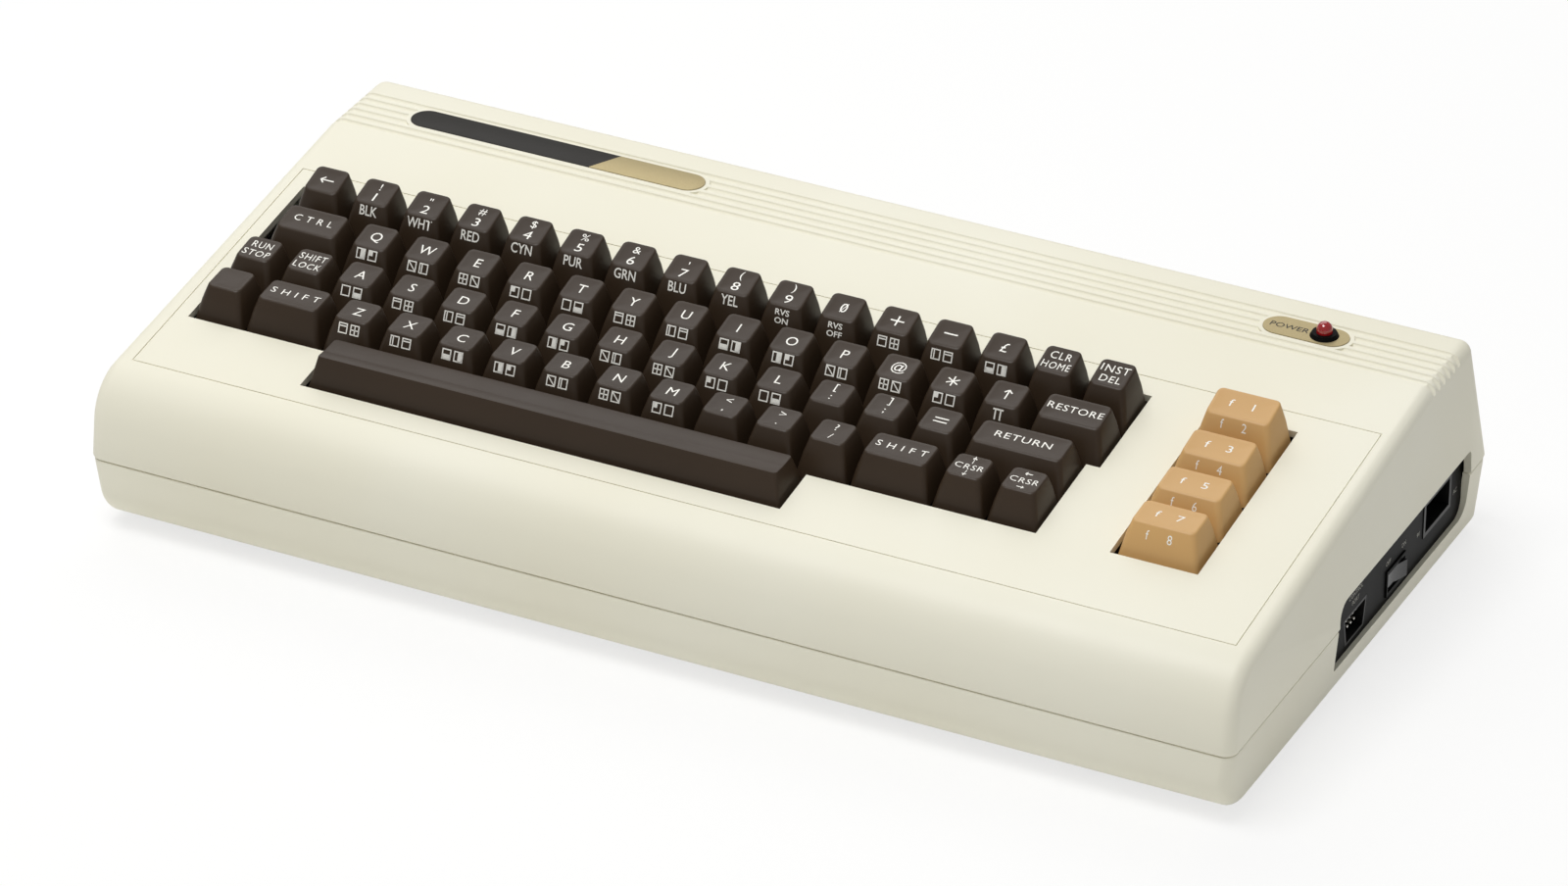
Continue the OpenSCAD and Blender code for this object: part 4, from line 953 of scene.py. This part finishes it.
class HC_OT_side_panel(bpy.types.Operator):
    """Finish the side panel with its sockets, switch, pins and small words"""
    bl_idname = "hc.side_panel"
    bl_label = "Side Panel"

    def execute(self, context):
        for node, use, slot in (("side_panel", "black", "panel_black"), ("control_port", "socket", "socket_black"),
                                ("power_switch", "black", "socket_black"), ("power_inlet", "socket", "socket_black"),
                                ("power_rocker", "rocker", "rocker_black")):
            obj = cad_copy(node, node + "_form")
            pick(obj)
            bpy.ops.object.shade_smooth_by_angle(angle=math.radians(30))
            coat(obj, finish_of(use))
            fit(obj, "power_rocker" if node == "power_rocker" else "case", [node])

        def pin(y, z, radius_mm, root, tip):
            radius = radius_mm * MM
            deselect()
            bpy.ops.mesh.primitive_cylinder_add(vertices=20, radius=radius, depth=tip - root,
                                                location=((root + tip) / 2, y, z), rotation=(0, math.pi / 2, 0))
            obj = settle(bpy.context.object)
            edit(obj, "EDGE")
            choose(obj, "EDGE", lambda e: all(v.co.x > tip - 1e-6 for v in e.verts))
            bpy.ops.mesh.bevel(offset=radius * 0.6, segments=3, affect="EDGES")
            bpy.ops.object.mode_set(mode="OBJECT")
            return outward(obj, 40)

        pins = []
        for row in (0, 1):
            for i in range(5 - row):
                pins.append(pin((PORT_Y + (i - (4 - row) / 2) * PORT_PITCH) * MM,
                                (PORT_Z + (0.5 - row) * PORT_ROW) * MM, *PORT_PIN))
        fit(coat(joined(pins, "control_port_pins"), finish_of("nickel")), "case")
        prongs = [pin((INLET_Y + side * INLET_SPREAD) * MM, INLET_Z * MM, *INLET_PIN) for side in (-1, 1)]
        fit(coat(joined(prongs, "power_inlet_prongs"), finish_of("nickel")), "case")

        face = Matrix(((0, 0, 1, PANEL_X + 0.04 * MM), (1, 0, 0, 0), (0, 1, 0, 0), (0, 0, 0, 1)))
        labels = [words(text, PANEL_WORD_H * MM, y * MM, z * MM) for text, y, z in PANEL_WORDS]
        lettering = joined(labels, "side_panel_words")
        settle(lettering, face)
        fit(coat(lettering, finish_of("words")), "case")
        return {"FINISHED"}


class HC_OT_rear(bpy.types.Operator):
    """Finish the rear sockets and what shows through the openings"""
    bl_idname = "hc.rear"
    bl_label = "Rear and Inside"

    def execute(self, context):
        for node, use in (("keyboard_frame", "frame"), ("keyboard_board", "board"), ("key_springs", "spring"),
                          ("keyboard_cable", "cable"), ("main_board", "board"), ("board_parts", "chip"),
                          ("heat_sink", "sink"), ("cartridge_slot", "socket"), ("din_sockets", "socket"),
                          ("screws", "nickel"), ("rubber_feet", "rubber")):
            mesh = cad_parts[node].data
            if not mesh.materials:
                mesh.materials.append(finish_of(use))
            for i in range(len(mesh.materials)):
                mesh.materials[i] = finish_of(use)
        return {"FINISHED"}


class HC_PT_panel(bpy.types.Panel):
    """The home computer's settings and its pieces"""
    bl_idname = "HC_PT_panel"
    bl_label = "Home Computer"
    bl_space_type = "VIEW_3D"
    bl_region_type = "UI"
    bl_category = "Home Computer"

    def draw(self, context):
        for group in ("hc_stage", "hc_case", "hc_caps", "hc_trim"):
            settings = getattr(context.scene, group)
            box = self.layout.box()
            for name in settings.bl_rna.properties.keys():
                if name not in ("rna_type", "name"):
                    box.prop(settings, name)
        for operator in OPERATORS:
            self.layout.operator(operator.bl_idname)


OPERATORS = (HC_OT_stage, HC_OT_case, HC_OT_caps, HC_OT_space_bar, HC_OT_plates, HC_OT_lamp, HC_OT_side_panel,
             HC_OT_rear)
GROUPS = {"hc_stage": StageSettings, "hc_case": CaseSettings, "hc_caps": CapSettings, "hc_trim": TrimSettings}


def register():
    for item in (*GROUPS.values(), *OPERATORS, HC_PT_panel):
        bpy.utils.register_class(item)
    for name, group in GROUPS.items():
        setattr(bpy.types.Scene, name, PointerProperty(type=group))


def unregister():
    for name in GROUPS:
        delattr(bpy.types.Scene, name)
    for item in reversed((*GROUPS.values(), *OPERATORS, HC_PT_panel)):
        bpy.utils.unregister_class(item)


def main():
    """Builds the whole scene."""
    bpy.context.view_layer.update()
    register()
    bpy.ops.hc.stage()
    bpy.ops.hc.case()
    bpy.ops.hc.caps()
    bpy.ops.hc.space_bar()
    bpy.ops.hc.plates()
    bpy.ops.hc.lamp()
    bpy.ops.hc.side_panel()
    bpy.ops.hc.rear()
    deselect()
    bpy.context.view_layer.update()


if __name__ == "__main__":
    main()
